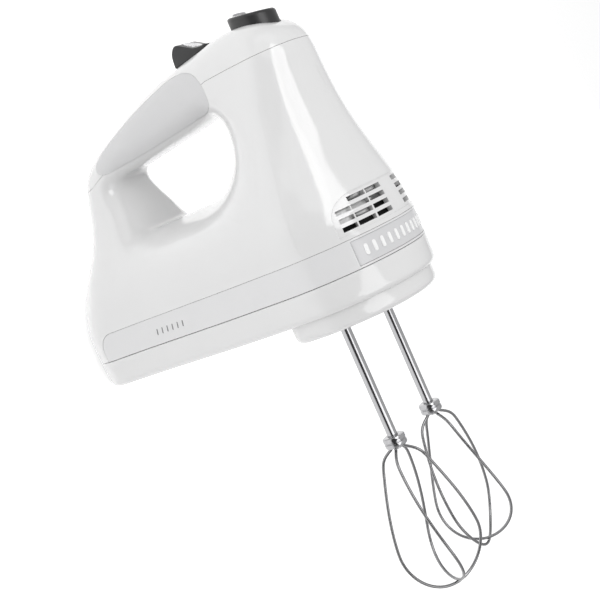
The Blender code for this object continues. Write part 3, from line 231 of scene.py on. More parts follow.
OPENING = ((49.5, 94.5, 9, .45), (53.5, 98.6, 10, .40), (62, 99.6, 11, .30), (80, 101.2, 11, .28),
           (100, 103, 11, .28), (117, 105, 12, .25), (123, 103.2, 15, .20), (125.4, 97, 20, .15),
           (125.4, 89, 24, .12), (121.5, 80, 26, .10), (113, 72.5, 24, .06), (101, 68.8, 21, 0),
           (86, 68, 19, 0), (70, 67.8, 17, .05), (59.5, 67.8, 13, .35), (55, 71.5, 10, .55),
           (52.6, 79, 9, .62), (50.6, 87, 9, .55))
HUB = (88.0, 85.0)
REAR_HALF = ((0, 39), (30, 39.5), (45, 38), (55, 35.5), (65, 31.5), (75, 26.5), (85, 22.5), (97, 19.5),
             (106, 18.5), (150, 18.5))
FRONT_HALF = ((0, 46), (38, 46), (46, 44.6), (58, 41.2), (70, 37), (82, 33), (92, 30.2), (102, 27.6),
              (115, 24.4), (124, 22), (150, 19))


def eased(points, steps, closed=False):
    """A smooth line through rows of values."""
    rows = np.array(points, float)
    count = len(rows)
    out = []
    for i in range(count if closed else count - 1):
        pick = [(i + k) % count if closed else min(max(i + k, 0), count - 1) for k in (-1, 0, 1, 2)]
        a, b, c, d = rows[pick]
        for k in range(steps):
            t = k / steps
            out.append(0.5 * (2 * b + (c - a) * t + (2 * a - 5 * b + 4 * c - d) * t ** 2
                              + (3 * b - a - 3 * c + d) * t ** 3))
    if not closed:
        out.append(rows[-1])
    return np.array(out)


def moved_in(rows, distance):
    ahead = np.roll(rows[:, :2], -1, axis=0) - np.roll(rows[:, :2], 1, axis=0)
    ahead[0], ahead[-1] = rows[1, :2] - rows[0, :2], rows[-1, :2] - rows[-2, :2]
    ahead /= np.linalg.norm(ahead, axis=1)[:, None]
    out = rows.copy()
    out[:, 0] += ahead[:, 1] * distance
    out[:, 1] -= ahead[:, 0] * distance
    out[:, 2] = np.maximum(rows[:, 2] - distance, 2.0)
    return out


def side_lines(inset):
    outer = eased(OUTER, 8)
    outer[:, 0] = np.maximum(outer[:, 0], 0.0)
    loop = eased(OPENING, 8, closed=True)
    loop = np.vstack([loop[-1:], loop, loop[:1]])
    return moved_in(outer, inset), moved_in(loop, -inset)[1:-1]


def edge_round(points, line, closed):
    """Share of the full width that the rounding toward one line leaves at each point."""
    ends = np.roll(line, -1, axis=0)
    start, ends = (line, ends) if closed else (line[:-1], ends[:-1])
    step = (ends - start)[:, :2]
    lead = points[:, None, :] - start[None, :, :2]
    share = np.clip((lead * step).sum(axis=2) / np.maximum((step ** 2).sum(axis=1), 1e-12), 0, 1)
    away = np.linalg.norm(lead - share[:, :, None] * step, axis=2)
    radius = start[:, 2] + share * (ends - start)[:, 2]
    flats = start[:, 3] + share * (ends - start)[:, 3]
    near = np.argmin(away / radius, axis=1)
    pick = np.arange(len(points))
    u = np.clip(away[pick, near] / radius[pick, near], 0, 1)
    flat = flats[pick, near]
    return flat + (1 - flat) * np.sqrt(1 - (1 - u) ** 2)


def half_width(points, inset=0.0):
    points = np.array(points, float)
    outer, loop = side_lines(inset)
    rear, front = (np.interp(points[:, 1], *np.array(t, float).T) for t in (REAR_HALF, FRONT_HALF))
    lift = np.clip((points[:, 1] - 55) / 45, 0, 1)
    start, end = 25 + 75 * lift, 125 + 25 * lift
    t = np.clip((points[:, 0] - start) / (end - start), 0, 1)
    full = rear + (front - rear) * t * t * (3 - 2 * t) - inset
    return full * edge_round(points, outer, False) * edge_round(points, loop, True)


def reach(line, angle):
    start = line[:, :2] - np.array(HUB)
    step = np.roll(start, -1, axis=0) - start
    way = (math.cos(angle), math.sin(angle))
    cross = way[0] * step[:, 1] - way[1] * step[:, 0]
    cross[np.abs(cross) < 1e-12] = 1e-12
    far = (start[:, 0] * step[:, 1] - start[:, 1] * step[:, 0]) / cross
    share = (start[:, 0] * way[1] - start[:, 1] * way[0]) / cross
    return far[(far > 0) & (share >= -1e-9) & (share <= 1 + 1e-9)].max()


def side_ring(inset, low):
    kept = side_lines(inset)[0]
    kept = kept[kept[:, 1] > low]
    rear, front = kept[0].copy(), kept[-1].copy()
    rear[1] = front[1] = low
    return np.vstack([rear, kept, front])


def skin_form(inset, low, columns, rows):
    """Rings of corner points round the whole handled body, drawn in by inset, flat at low."""
    ring = side_ring(0.0, PARTING + GAP / 2)
    ring = np.vstack([ring, ring[:1]])
    spacing = np.concatenate([[0], np.cumsum(np.linalg.norm(np.diff(ring[:, :2], axis=0), axis=1))])
    stations = np.linspace(0, spacing[-1], columns, endpoint=False)
    stations[np.argmin(np.abs(stations - spacing[-2]))] = spacing[-2]
    ex, ez = (np.interp(stations, spacing, ring[:, k]) for k in (0, 1))
    edge, loop = side_ring(inset, low), side_lines(inset)[1]
    share = 0.5 - 0.5 * np.cos(np.linspace(0, math.pi, rows + 1))
    flat_points = []
    for angle in np.arctan2(ez - HUB[1], ex - HUB[0]):
        far, near = reach(edge, angle), reach(loop, angle)
        r = near + (far - near) * share
        flat_points.append(np.stack([HUB[0] + r * math.cos(angle), HUB[1] + r * math.sin(angle)], axis=1))
    flat_points = np.array(flat_points)
    wide = half_width(flat_points.reshape(-1, 2), inset).reshape(columns, rows + 1)
    rings = []
    for column, y in zip(flat_points, wide):
        near_side = [row(x, -w, z) for (x, z), w in zip(column, y)]
        far_side = [row(x, w, z) for (x, z), w in zip(column, y)]
        rings.append(near_side + far_side[::-1])
    return rings


def bridge(bm, rings, round_and_round):
    verts = [[bm.verts.new(p) for p in ring] for ring in rings]
    for i in range(len(verts) if round_and_round else len(verts) - 1):
        after = verts[(i + 1) % len(verts)]
        size = len(verts[i])
        for j in range(size):
            k = (j + 1) % size
            bm.faces.new((verts[i][j], verts[i][k], after[k], after[j]))
    return verts


bench = []       # every solid made here; dressing a piece takes it off, and the rest are cleared


def stock(name, bm):
    """A closed mesh as an object at the origin, facing outwards."""
    bmesh.ops.remove_doubles(bm, verts=bm.verts, dist=2e-6)
    bmesh.ops.recalc_face_normals(bm, faces=bm.faces)
    mesh = bpy.data.meshes.new(name)
    bm.to_mesh(mesh)
    bm.free()
    made = bpy.data.objects.new(name, mesh)
    scene.collection.objects.link(made)
    bench.append(made)
    return made


def skin(name, inset, low=2.0, columns=110, rows=12):
    bm = bmesh.new()
    bridge(bm, skin_form(inset, low, columns, rows), True)
    bmesh.ops.remove_doubles(bm, verts=bm.verts, dist=1e-5)
    bmesh.ops.triangulate(bm, faces=bm.faces)
    return stock(name, bm)


def stacked(rings):
    bm = bmesh.new()
    verts = bridge(bm, rings, False)
    bm.faces.new(verts[0])
    bm.faces.new(verts[-1])
    return bm


def side_prism(name, outline, low=-70.0, high=70.0):
    return stock(name, stacked([[row(x, y, z) for x, z in outline] for y in (low, high)]))


def plan_prism(name, outline, low, high):
    return stock(name, stacked([[row(x, y, z) for x, y in outline] for z in (low, high)]))


def block(name, low, high):
    return plan_prism(name, ((low[0], low[1]), (high[0], low[1]), (high[0], high[1]), (low[0], high[1])),
                      low[2], high[2])


def work(piece, how, *others):
    """Cut, keep or join with each other solid in turn, and keep the plain mesh."""
    for other in others:
        cut = piece.modifiers.new(how, "BOOLEAN")
        cut.operation, cut.solver, cut.object = how, "EXACT", other
        settle(piece)


def settle(piece):
    ready = bpy.data.meshes.new_from_object(piece.evaluated_get(bpy.context.evaluated_depsgraph_get()))
    piece.modifiers.clear()
    piece.data = ready


def dress(piece, material, body, slot, *nodes, angle=35.0):
    piece.data.materials.clear()
    piece.data.materials.append(material)
    piece.data.shade_smooth()
    piece.data.set_sharp_from_angle(angle=math.radians(angle))
    bench.remove(piece)
    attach(piece, body)
    if nodes:
        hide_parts(*nodes)


FINE = {"columns": 220, "rows": 22}
whole = skin("whole_skin", 0.0, **FINE)
hollow = skin("inner_skin", WALL, low=-3.0)

# ------------------------------------------------------------------ upper housing
# One white ABS moulding from the heel round the finger opening to the motor head, polished in
# the tool.  It is open below, and along the top where the control cover closes it.
PAST_NOSE, PAST_SIDE, PAST_TOP = 215, 60, 200
SEAM = ((PAST_NOSE, 121), (132, 121), (60, 108), (38, 99.5), (5, 95))
BAND_TOP, BAND_DEPTH, PAD_DEPTH = 28.0, 2.0, 1.6


def over_seam(shift):
    return [(x, z + shift) for x, z in SEAM] + [(5, PAST_TOP), (PAST_NOSE, PAST_TOP)]


def pad_shape(grow):
    rows = ((129.5 + grow, 117), (126.5 + grow, 109.5 - grow), (112, 107.2 - grow), (84, 104.8 - grow),
            (60, 103.4 - grow), (48.5, 103.4 - grow), (44 - grow, 108), (50, 113.8 + grow),
            (74, 122.4 + grow), (98, 128.2 + grow), (114, 130 + grow), (125 + grow, 126.5 + grow))
    return [tuple(p) for p in eased(rows, 8, closed=True)]


def swept_shape(rear, top, low, corner, steps):
    """A side outline that runs out past the nose, with its rear upper corner rounded."""
    arc = [(rear + corner - corner * math.cos(a), top - corner + corner * math.sin(a))
           for a in (math.radians(90.0 / steps * k) for k in range(steps + 1))]
    return [(rear, low)] + arc + [(PAST_NOSE, top), (PAST_NOSE, low)]


def band_shape(grow):
    return swept_shape(16 - grow, BAND_TOP + grow, PARTING + GAP / 2 - 4 * grow, 10.0, 18)


upper = skin("upper_housing_shell", 0.0, low=PARTING + GAP / 2, **FINE)
band_room = side_prism("band_room", band_shape(0.16))
work(band_room, "DIFFERENCE", skin("under_band", BAND_DEPTH + GAP))
pad_floor = skin("under_pad", PAD_DEPTH + GAP)
pad_rooms = []
for side, span in (("right", (-70.0, -4.0)), ("left", (4.0, 70.0))):
    room_for_pad = side_prism("pad_room_" + side, pad_shape(0.3), *span)
    work(room_for_pad, "DIFFERENCE", pad_floor)
    pad_rooms.append(room_for_pad)
# a shallow flat round the vents
panel = side_prism("panel_room", swept_shape(173.4, 47.8, 30.2, 8.5, 10))
work(panel, "DIFFERENCE", skin("under_panel", 0.45, columns=150, rows=16))
above_seam = side_prism("above_seam", over_seam(-GAP / 2 + 0.02))

# The vents are rows of slots standing square to the nose, set out as turned copies of one slot.
set_out = bpy.data.node_groups.new("set_out", "GeometryNodeTree")
face = set_out.interface
face.new_socket("Places", in_out="INPUT", socket_type="NodeSocketGeometry")
PIECE_SOCKET = face.new_socket("Piece", in_out="INPUT", socket_type="NodeSocketObject").identifier
FINISH_SOCKET = face.new_socket("Finish", in_out="INPUT", socket_type="NodeSocketMaterial").identifier
face.new_socket("Pieces", in_out="OUTPUT", socket_type="NodeSocketGeometry")
n = set_out.nodes
given, result = n.new("NodeGroupInput"), n.new("NodeGroupOutput")
source, euler = n.new("GeometryNodeObjectInfo"), n.new("FunctionNodeEulerToRotation")
turned_by, stretch = n.new("GeometryNodeInputNamedAttribute"), n.new("GeometryNodeInputNamedAttribute")
for reader, label in ((turned_by, "turned"), (stretch, "stretch")):
    reader.data_type = "FLOAT_VECTOR"
    reader.inputs["Name"].default_value = label
copies, real = n.new("GeometryNodeInstanceOnPoints"), n.new("GeometryNodeRealizeInstances")
painted = n.new("GeometryNodeSetMaterial")
join_up(set_out, (given, "Places", copies, "Points"), (given, "Piece", source, "Object"),
        (source, "Geometry", copies, "Instance"), (turned_by, "Attribute", euler, "Euler"),
        (euler, "Rotation", copies, "Rotation"), (stretch, "Attribute", copies, "Scale"),
        (copies, "Instances", real, "Geometry"), (real, "Geometry", painted, "Geometry"),
        (given, "Finish", painted, "Material"), (painted, "Geometry", result, "Pieces"))


def lay_out(name, piece, places, material):
    """Copies of a piece at (place, axes, stretch), made one plain mesh."""
    mesh = bpy.data.meshes.new(name)
    mesh.from_pydata([p for p, _, _ in places], [], [])
    turns = mesh.attributes.new("turned", "FLOAT_VECTOR", "POINT")
    sizes = mesh.attributes.new("stretch", "FLOAT_VECTOR", "POINT")
    for k, (_, axes, size) in enumerate(places):
        turns.data[k].vector = Matrix(axes).transposed().to_euler()
        sizes.data[k].vector = size
    made = bpy.data.objects.new(name, mesh)
    scene.collection.objects.link(made)
    tree = made.modifiers.new("set_out", "NODES")
    tree.node_group = set_out
    tree[PIECE_SOCKET] = piece
    tree[FINISH_SOCKET] = material
    settle(made)
    bench.append(made)
    return made


def nose_axes(angle):
    """Along the nose, up, and outwards, at an angle round the head."""
    out = row_way(math.cos(angle), math.sin(angle), 0.0)
    up = row_way(0.0, 0.0, 1.0)
    return up.cross(out), up, out


bm = bmesh.new()
bmesh.ops.create_cube(bm, size=0.001)
one_slot = stock("one_slot", bm)
HEAD_CENTRE, HEAD_RADIUS, VENT_WALL = 143.0, 49.0, 47.0
LOWEST_VENT, VENT_PITCH, VENT_HIGH, VENT_DEEP = 32.9, 4.0, 2.2, 22.0
slots = []
for k in range(4):       # the top row lacks the outermost pair
    for first, last in ((8, 20.5), (22, 34), (35.2, 44.5))[:2 if k == 3 else 3]:
        for sign in (-1, 1):
            mid = math.radians((first + last) / 2) * sign
            wide = 2 * VENT_WALL * math.tan(math.radians((last - first) / 2))
            spot = row(HEAD_CENTRE + HEAD_RADIUS * math.cos(mid), HEAD_RADIUS * math.sin(mid),
                       LOWEST_VENT + VENT_PITCH * k)
            slots.append((spot, nose_axes(mid), (wide, VENT_HIGH, VENT_DEEP)))
vents = lay_out("vent_slots", one_slot, slots, white)
work(upper, "DIFFERENCE", band_room, *pad_rooms, panel, hollow, above_seam, vents)
dress(upper, white, "housing", "white_abs", "upper_housing")

# ------------------------------------------------------------------ control cover
# The white cap along the top of the handle and head, snapped on after the switch is in.  It has
# the round hole of the eject button and the slot that the speed slide's stem runs in.
BUTTON_X, HOLE_LONG, HOLE_WIDE = 156.8, 12.3, 10.6
cover = skin("control_cover_shell", 0.0, **FINE)
ring_hole = [(BUTTON_X + HOLE_LONG * math.cos(a), HOLE_WIDE * math.sin(a))
             for a in np.linspace(0, 2 * math.pi, 64, False)]
button_hole = plan_prism("button_hole", ring_hole, 100.0, 170.0)
stem_slot = block("stem_slot", (110.5, -2.3, 100.0), (129.6, 2.3, 170.0))
work(cover, "INTERSECT", side_prism("cover_keep", over_seam(0.03)))
work(cover, "DIFFERENCE", hollow, button_hole, stem_slot, *pad_rooms)
dress(cover, white, "housing", "white_abs", "handle_cover")

# ------------------------------------------------------------------ grip pads
# Pale grey soft-touch rubber, moulded into a shallow recess on each side of the handle: matt,
# with a fine spark-eroded grain.
soft_touch = finish("soft_touch_rubber", (0.625, 0.625, 0.63), 0.62, Peel_size=2600.0, Peel_depth=0.35,
                    Tone_change=0.04)
pad_back = skin("pad_back", PAD_DEPTH)
for side, span in (("right", (-60.0, -4.2)), ("left", (4.2, 60.0))):
    pad = side_prism("grip_pad_rubber_" + side, pad_shape(0.2), *span)
    work(pad, "INTERSECT", whole)
    work(pad, "DIFFERENCE", pad_back)
    dress(pad, soft_touch, "housing", "grip", "grip_pad_" + side)

# ------------------------------------------------------------------ trim band and nameplate
# A white band is let in round the foot of the housing.  It carries a plain grey plate on the
# nose with a row of raised white bars, and a few slanted printed strokes near the rear.
band = side_prism("trim_band_moulding", band_shape(0.0), -60.0, 60.0)
band_back = skin("band_back", BAND_DEPTH)
work(band, "INTERSECT", whole)
work(band, "DIFFERENCE", band_back)
PLATE_X, PLATE_EDGE = 176.2, 1.3
plate_low, plate_high = PARTING + GAP / 2 + PLATE_EDGE, BAND_TOP - PLATE_EDGE
plate_room = block("plate_room", (PLATE_X, -PAST_SIDE, plate_low - GAP),
                   (PAST_NOSE, PAST_SIDE, plate_high + GAP))
work(plate_room, "DIFFERENCE", skin("under_plate", 1.4))
work(band, "DIFFERENCE", plate_room)
dress(band, trim_white, "housing", "white_trim", "trim_band")
plate = block("nameplate", (PLATE_X + 0.15, -PAST_SIDE, plate_low - 0.15),
              (PAST_NOSE, PAST_SIDE, plate_high + 0.15))
work(plate, "INTERSECT", skin("plate_front", 0.25, columns=180, rows=16))
work(plate, "DIFFERENCE", skin("plate_back", 1.1))
plate_grey = finish("plate_moulding", (0.62, 0.62, 0.63), 0.26, coat=0.2, Peel_depth=0.06)
dress(plate, plate_grey, "housing", "badge", "badge_plate")


def plan_line(z, inset, count):
    """Half of the body's outline seen from above: x, y from the heel to the nose."""
    outer = side_lines(inset)[0]
    rear = np.interp(z, outer[:60, 1], outer[:60, 0])
    front = np.interp(-z, -outer[-60:, 1], outer[-60:, 0])
    xs = rear + (front - rear) * (0.5 - 0.5 * np.cos(np.linspace(0, math.pi, 400)))
    ys = half_width(np.stack([xs, np.full(400, float(z))], axis=1), inset)
    along = np.concatenate([[0], np.cumsum(np.hypot(np.diff(xs), np.diff(ys)))])
    stations = np.linspace(0, along[-1], count)
    return np.stack([np.interp(stations, along, xs), np.interp(stations, along, ys)], axis=1)


def rounded_bar(name, width, height, depth, edge):
    """A small bar with rounded ends and edges, made round the origin: x, y, z its own axes."""
    turn = np.linspace(0, 2 * math.pi, 24, False)
    r, shift = width / 2, (height - width) / 2
    rings = []
    for level, shrink in ((-depth / 2, 0.0), (depth / 2 - edge, 0.0), (depth / 2, edge)):
        rings.append([(0.001 * (r - shrink) * math.cos(a),
                       0.001 * ((r - shrink) * math.sin(a) + math.copysign(shift, math.sin(a))),
                       0.001 * level) for a in turn + 0.001])
    return stock(name, stacked(rings))


def along_skin(z, first, step, count, side, lift):
    """Places along the body at one height, by distance back from the nose."""
    line = plan_line(z, 0.0, 400)[::-1]
    gone = np.concatenate([[0], np.cumsum(np.linalg.norm(np.diff(line, axis=0), axis=1))])
    found = []
    for k in range(count):
        d = first + step * k
        here = np.array([np.interp(d, gone, line[:, c]) for c in (0, 1)])
        there = np.array([np.interp(d + 0.5, gone, line[:, c]) for c in (0, 1)])
        way = (there - here) / np.linalg.norm(there - here)
        out = np.array((way[1], -way[0]))
        out = out if out @ (here - (HEAD_CENTRE, 0)) > 0 else -out
        spot = here + out * lift
        outward = row_way(out[0], side * out[1], 0.0)
        up = row_way(0.0, 0.0, 1.0)
        found.append((row(spot[0], side * spot[1], z), (up.cross(outward), up, outward), (1, 1, 1)))
    return found


bar = rounded_bar("one_bar", 2.0, 5.4, 0.7, 0.2)
BAR_PITCH, BARS_EACH_SIDE, BAR_SINK = 4.6, 7, -0.25
z_mid = (plate_low + plate_high) / 2
spots = [spot for side in (-1, 1)
         for spot in along_skin(z_mid, BAR_PITCH / 2, BAR_PITCH, BARS_EACH_SIDE, side, BAR_SINK)]
bright_white = finish("raised_bars", (0.88, 0.88, 0.88), 0.2, coat=0.3, Peel_depth=0.03)
bars = lay_out("nameplate_bars", bar, spots, bright_white)
dress(bars, bright_white, "housing", "white_trim")
stroke = rounded_bar("one_stroke", 0.6, 3.2, 0.12, 0.02)
PRINT_Z, FIRST_STROKE, STROKE_PITCH, STROKES, SLANT = 20.4, 139.7, 3.8, 6, -16.0
slanted = []
for spot, (wide, up, out), size in along_skin(PRINT_Z, FIRST_STROKE, STROKE_PITCH, STROKES, -1, 0.02):
    tilt = Matrix.Rotation(math.radians(SLANT), 3, out)
    slanted.append((spot, (tilt @ wide, tilt @ up, out), size))
print_ink = finish("printed_ink", (0.16, 0.16, 0.165), 0.5, Peel_depth=0.02)
strokes = lay_out("printed_strokes", stroke, slanted, print_ink)
dress(strokes, print_ink, "housing", "white_trim")

# ------------------------------------------------------------------ vent screen
# A thin baffle stands behind the slots and keeps fingers off the fan side of the motor.  It is a
# plain moulding, so its imported solid stays and takes a matt grain; its near black is painted shade in the
# slots.
painted_shade_black = finish("vent_screen_painted_shade", (0.006, 0.006, 0.006), 0.9, Peel_size=1500.0, Peel_depth=0.3)


def clothe(material, *names):
    for name in names:
        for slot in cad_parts[name].material_slots:
            slot.material = material


# the vent screen's near-black colour is painted shade behind the slots
clothe(painted_shade_black, "vent_screen")

# ------------------------------------------------------------------ base
# The white tray that closes the body from below, screwed up into it.  Its front end steps down
# into a block that holds the two spindle bushes, and its foot has a rounded lower edge.
def drawn_in(outline, distance):
    rows = np.array(outline)
    ahead = np.roll(rows, -1, axis=0) - np.roll(rows, 1, axis=0)
    ahead /= np.linalg.norm(ahead, axis=1)[:, None]
    return [(x - ty * distance, y + tx * distance) for (x, y), (tx, ty) in zip(rows, ahead)]


def tray(name, outline, levels):
    return stock(name, stacked([[row(x, y, z) for x, y in drawn_in(outline, d)] for z, d in levels]))


def fillet(top_z, low_z, first, reach_in):
    """Levels of a rounded lower edge, from a wall at one inset to a flat underside."""
    out, steps = [], 7
    for k in range(steps + 1):
        a = math.radians(90.0 * k / steps)
        out.append((top_z - (top_z - low_z) * math.sin(a), first + reach_in * (1 - math.cos(a))))
    return out


half_plan = plan_line(PARTING, 0.0, 64)
right_side, left_side = [(x, -y) for x, y in half_plan], [(x, y) for x, y in half_plan][::-1]
plan = right_side + (left_side if half_plan[-1][1] > 0.1 else left_side[1:])
tray_top = PARTING - GAP / 2
foot = tray("base_tray", plan,
            [(tray_top, 0.35), (tray_top - 0.3, 0.1), (5.0, 0.2)] + fillet(3.4, 0.0, 0.35, 2.9))
BLOCK_REAR, corner, step_in = 129.0, 12.0, 3.3
start = BLOCK_REAR + corner
nose_part = [p for p in drawn_in(plan, step_in) if p[0] > start + 0.6]
side_y = -nose_part[0][1] - 0.02
rear_arc = []
for sign, turns in ((1.0, range(0, 17)), (-1.0, range(16, -1, -1))):
    for k in turns:
        a = math.radians(90.0 * k / 16)
        rear_arc.append((start - corner * math.sin(a), sign * (side_y - corner + corner * math.cos(a))))
block_plan = nose_part + rear_arc
bottom = -9.0
spindle_block = tray("spindle_block", block_plan,
                     [(4.0, 0.0), (bottom + 3.6, 0.0)] + fillet(bottom + 3.4, bottom, 0.05, 3.2))
work(foot, "UNION", spindle_block)
well = tray("block_well", block_plan, ((6.0, WALL + 0.5), (bottom + WALL, WALL + 3.0)))
inside_tray = tray("tray_hollow", plan, ((tray_top + 5.0, WALL), (5.0, WALL + 0.2), (WALL, WALL + 2.0)))
work(foot, "DIFFERENCE", inside_tray, well)


def lathe(name, profile, centre, steps=48):
    """Turn a closed outline of (radius, height) about an upright axis."""
    bm = bmesh.new()
    rings = []
    for i in range(steps):
        a = 2 * math.pi * i / steps
        c, s = math.cos(a), math.sin(a)
        rings.append([row(centre[0] + r * c, centre[1] + r * s, h) for r, h in profile])
    bridge(bm, rings, True)
    return stock(name, bm)


SPINDLE_X, SPINDLE_Y, BUSH_SEAT = 148.0, 21.0, 10.3
sides = (("right", -1), ("left", 1))
for side, sign in sides:
    hub = (SPINDLE_X, sign * SPINDLE_Y)
    wall_low = bottom + WALL - 0.6
    seat_wall = lathe("seat_wall_" + side, [(BUSH_SEAT, wall_low), (13, wall_low), (13, -0.5),
                                            (BUSH_SEAT, -0.5)], hub)
    seat_hole = lathe("seat_hole_" + side, [(0, -20), (11.0, -20), (11.0, bottom), (BUSH_SEAT, bottom + 0.7),
                                            (BUSH_SEAT, 12), (0, 12)], hub)
    work(foot, "UNION", seat_wall)
    work(foot, "DIFFERENCE", seat_hole)
CORD_EXIT, BOSS = (24.0, 0.0), 4.0
screw_spots = [(x, sign * y) for x, y in ((24.0, 30.0), (112.0, 38.5)) for sign in (-1, 1)]
for k, spot in enumerate(screw_spots):
    post = lathe(f"screw_post_{k}", [(0, WALL - 1), (BOSS, WALL - 1), (BOSS, tray_top), (0, tray_top)],
                 spot, steps=24)
    sink = lathe(f"screw_sink_{k}", [(0, -5), (3.75, -5), (3.75, -0.2), (3.35, 0.4), (3.35, 4.0), (1.8, 4.0),
                                     (1.8, 20), (0, 20)], spot, steps=32)
    work(foot, "UNION", post)
    work(foot, "DIFFERENCE", sink)
cord_way = lathe("cord_way", [(0, -5), (7.4, -5), (7.4, -0.1), (7.1, 0.2), (7.1, 1.2), (5.5, 1.2), (5.5, 8),
                              (0, 8)], CORD_EXIT)
work(foot, "DIFFERENCE", cord_way)
dress(foot, white, "housing", "white_abs", "base_housing")

# ------------------------------------------------------------------ cord gland and base screws
# A black rubber gland lines the cord's hole under the heel.  Four cross-head screws, sunk in
# their holes, hold the tray up to the body.
gland_rubber = finish("gland_rubber", (0.02, 0.02, 0.02), 0.7, Peel_size=1800.0, Peel_depth=0.4)
gland = lathe("cord_gland_ring", [(2.8, 0.5), (3.1, 0.2), (6.5, 0.2), (6.8, 0.4), (6.8, 0.9), (5.2, 0.9),
                                  (5.2, WALL + 0.3), (6.8, WALL + 0.3), (6.8, WALL + 1.5), (6.3, WALL + 1.9),
                                  (3.2, WALL + 1.9), (2.8, WALL + 1.5)], CORD_EXIT)
dress(gland, gland_rubber, "housing", "rubber", "cord_gland")
steel = finish("plated_steel", (0.50, 0.51, 0.52), 0.32, metallic=1.0, marks=drawn, Depth=0.1)
profile = [(0, 2.35), (1.9, 2.05), (2.6, 2.3), (2.95, 2.8), (3.0, 3.6), (1.5, 3.7), (1.5, 12.6), (0.7, 14.0),
           (0, 14.2)]
one_screw = lathe("one_screw", profile, (0.0, 0.0), steps=28)
for wide, thin in ((1.7, 0.32), (0.32, 1.7)):
    work(one_screw, "DIFFERENCE", block("slit", (-wide, -thin, 0.0), (wide, thin, 3.3)))
one_screw.data.transform(Matrix.Translation(-row(0.0, 0.0, 0.0)))
upright = (Vector((1, 0, 0)), Vector((0, 1, 0)), Vector((0, 0, 1)))
places = []
for x, y in screw_spots:
    turned = Matrix.Rotation(math.radians(17.0 * (x + y)), 3, "X")       # left as the driver stopped
    places.append((row(x, y, 0.0), tuple(turned @ v for v in upright), (1, 1, 1)))
screws = lay_out("base_screws", one_screw, places, steel)
dress(screws, steel, "housing", "steel", *(f"base_screw_{k}" for k in range(1, 5)))

# ------------------------------------------------------------------ spindle bushes
# Sintered bronze bushes in the underside and in the gear bridge, oil-soaked and dull.
sintered = finish("sintered_bronze", (0.40, 0.29, 0.15), 0.45, metallic=0.9, Cloud_size=220.0,
                  Tone_change=0.25, Peel_size=2400.0, Peel_depth=0.5, Gloss_change=0.2)
for side, sign in sides:
    ring = lathe("spindle_bush_ring_" + side, [(7.8, bottom + 0.7), (8.1, bottom + 0.4), (9.6, bottom + 0.4),
                                               (10.0, bottom + 0.8), (10.0, -1.0), (7.8, -1.0)],
                 (SPINDLE_X, sign * SPINDLE_Y))
    dress(ring, sintered, "housing", "bronze", "spindle_bush_" + side)

# ------------------------------------------------------------------ speed slide
# A dark grey thumb piece on top of the head.  It rises steeply at the rear, has a bright lens
# let into its crown, and runs down its front over a low fixed ramp as it is pushed forward.
SLOPE = math.atan(0.117)
charcoal = finish("charcoal_moulding", (0.016, 0.016, 0.017), 0.34, Peel_size=1500.0, Peel_depth=0.12,
                  Tone_change=0.3)


def head_top(x, over=0.0):
    return 134.0 + math.tan(SLOPE) * (x - 112.0) + over


def soften(piece, width, steps=3):
    edge = piece.modifiers.new("soft_edges", "BEVEL")
    edge.width, edge.segments = width * 0.001, steps
    edge.limit_method, edge.angle_limit = "ANGLE", math.radians(40.0)
    settle(piece)


rear, front, lift, roof = 110.0, 131.0, 0.35, 1.3
SLIDE_HALF, TUNNEL_HALF, RAMP_HALF = 8.25, 5.5, 5.0
lean, dish_x, dish_z = math.tan(math.radians(30.0)), 119.5, 141.7
crown = eased([(rear, 134.1), (rear + 0.25, 137.2), (rear + 1.0, 140.5), (rear + 2.9, 143.1),
               (rear + 4.8, 144.0), (dish_x - 3.2, dish_z + 3.2 * lean), (dish_x, dish_z),
               (dish_x + 4.2, dish_z - 4.2 * lean), (front - 3.0, head_top(front, 2.1)),
               (front, head_top(front, 2.1))], 5)
crown = [(min(max(x, rear), front), z) for x, z in crown if z > head_top(x, lift + 0.1)]
side_view = [(rear, head_top(rear, lift))] + crown + [(front, head_top(front, lift))]
thumb = side_prism("speed_slide_cap", side_view, -SLIDE_HALF, SLIDE_HALF)
soften(thumb, 0.7)
entry, ahead = front - 12.0, front + 2.0
tunnel = side_prism("slide_tunnel", [(entry, head_top(entry, -2)), (entry, head_top(entry, roof)),
                                     (ahead, head_top(ahead, roof)), (ahead, head_top(ahead, -2))],
                    -TUNNEL_HALF, TUNNEL_HALF)
work(thumb, "DIFFERENCE", tunnel)


def leaning_oval(rx, ry, over):
    """An oval lying this far over the thumb face."""
    out = []
    for a in np.linspace(0, 2 * math.pi, 44, False):
        x, y = dish_x + rx * math.cos(a), ry * math.sin(a)
        out.append(row(x, y, dish_z + over - lean * (x - dish_x)))
    return out


pocket = stock("lens_pocket", stacked([leaning_oval(4.4, 5.3, -0.7), leaning_oval(4.6, 5.5, 8.0)]))
work(thumb, "DIFFERENCE", pocket)
dress(thumb, charcoal, "speed_control", "charcoal", "speed_slide")
silver = finish("bright_inlay", (0.62, 0.62, 0.63), 0.22, metallic=0.9, marks=drawn, Depth=0.04,
                Tone_change=0.05)
levels = [(4.0, 4.9, -0.35), (4.0, 4.9, 0.05), (3.8, 4.7, 0.22), (3.2, 4.0, 0.12), (2.1, 2.6, -0.1),
          (1.0, 1.2, -0.2)]
lens = stock("speed_slide_lens", stacked([leaning_oval(*level) for level in levels]))
dress(lens, silver, "speed_control", "bright", "slide_insert", angle=50.0)
tip = front + 9.0
ramp_view = [(x, head_top(x, over)) for x, over in (
    (front + 0.6, lift), (front + 0.6, 0.7), (tip - 3.0, 1.0), (tip - 0.5, 1.0), (tip + 0.5, lift))]
ramp_piece = side_prism("slide_ramp_wedge", ramp_view, -RAMP_HALF, RAMP_HALF)
soften(ramp_piece, 0.25)
dress(ramp_piece, charcoal, "housing", "charcoal", "slide_ramp")

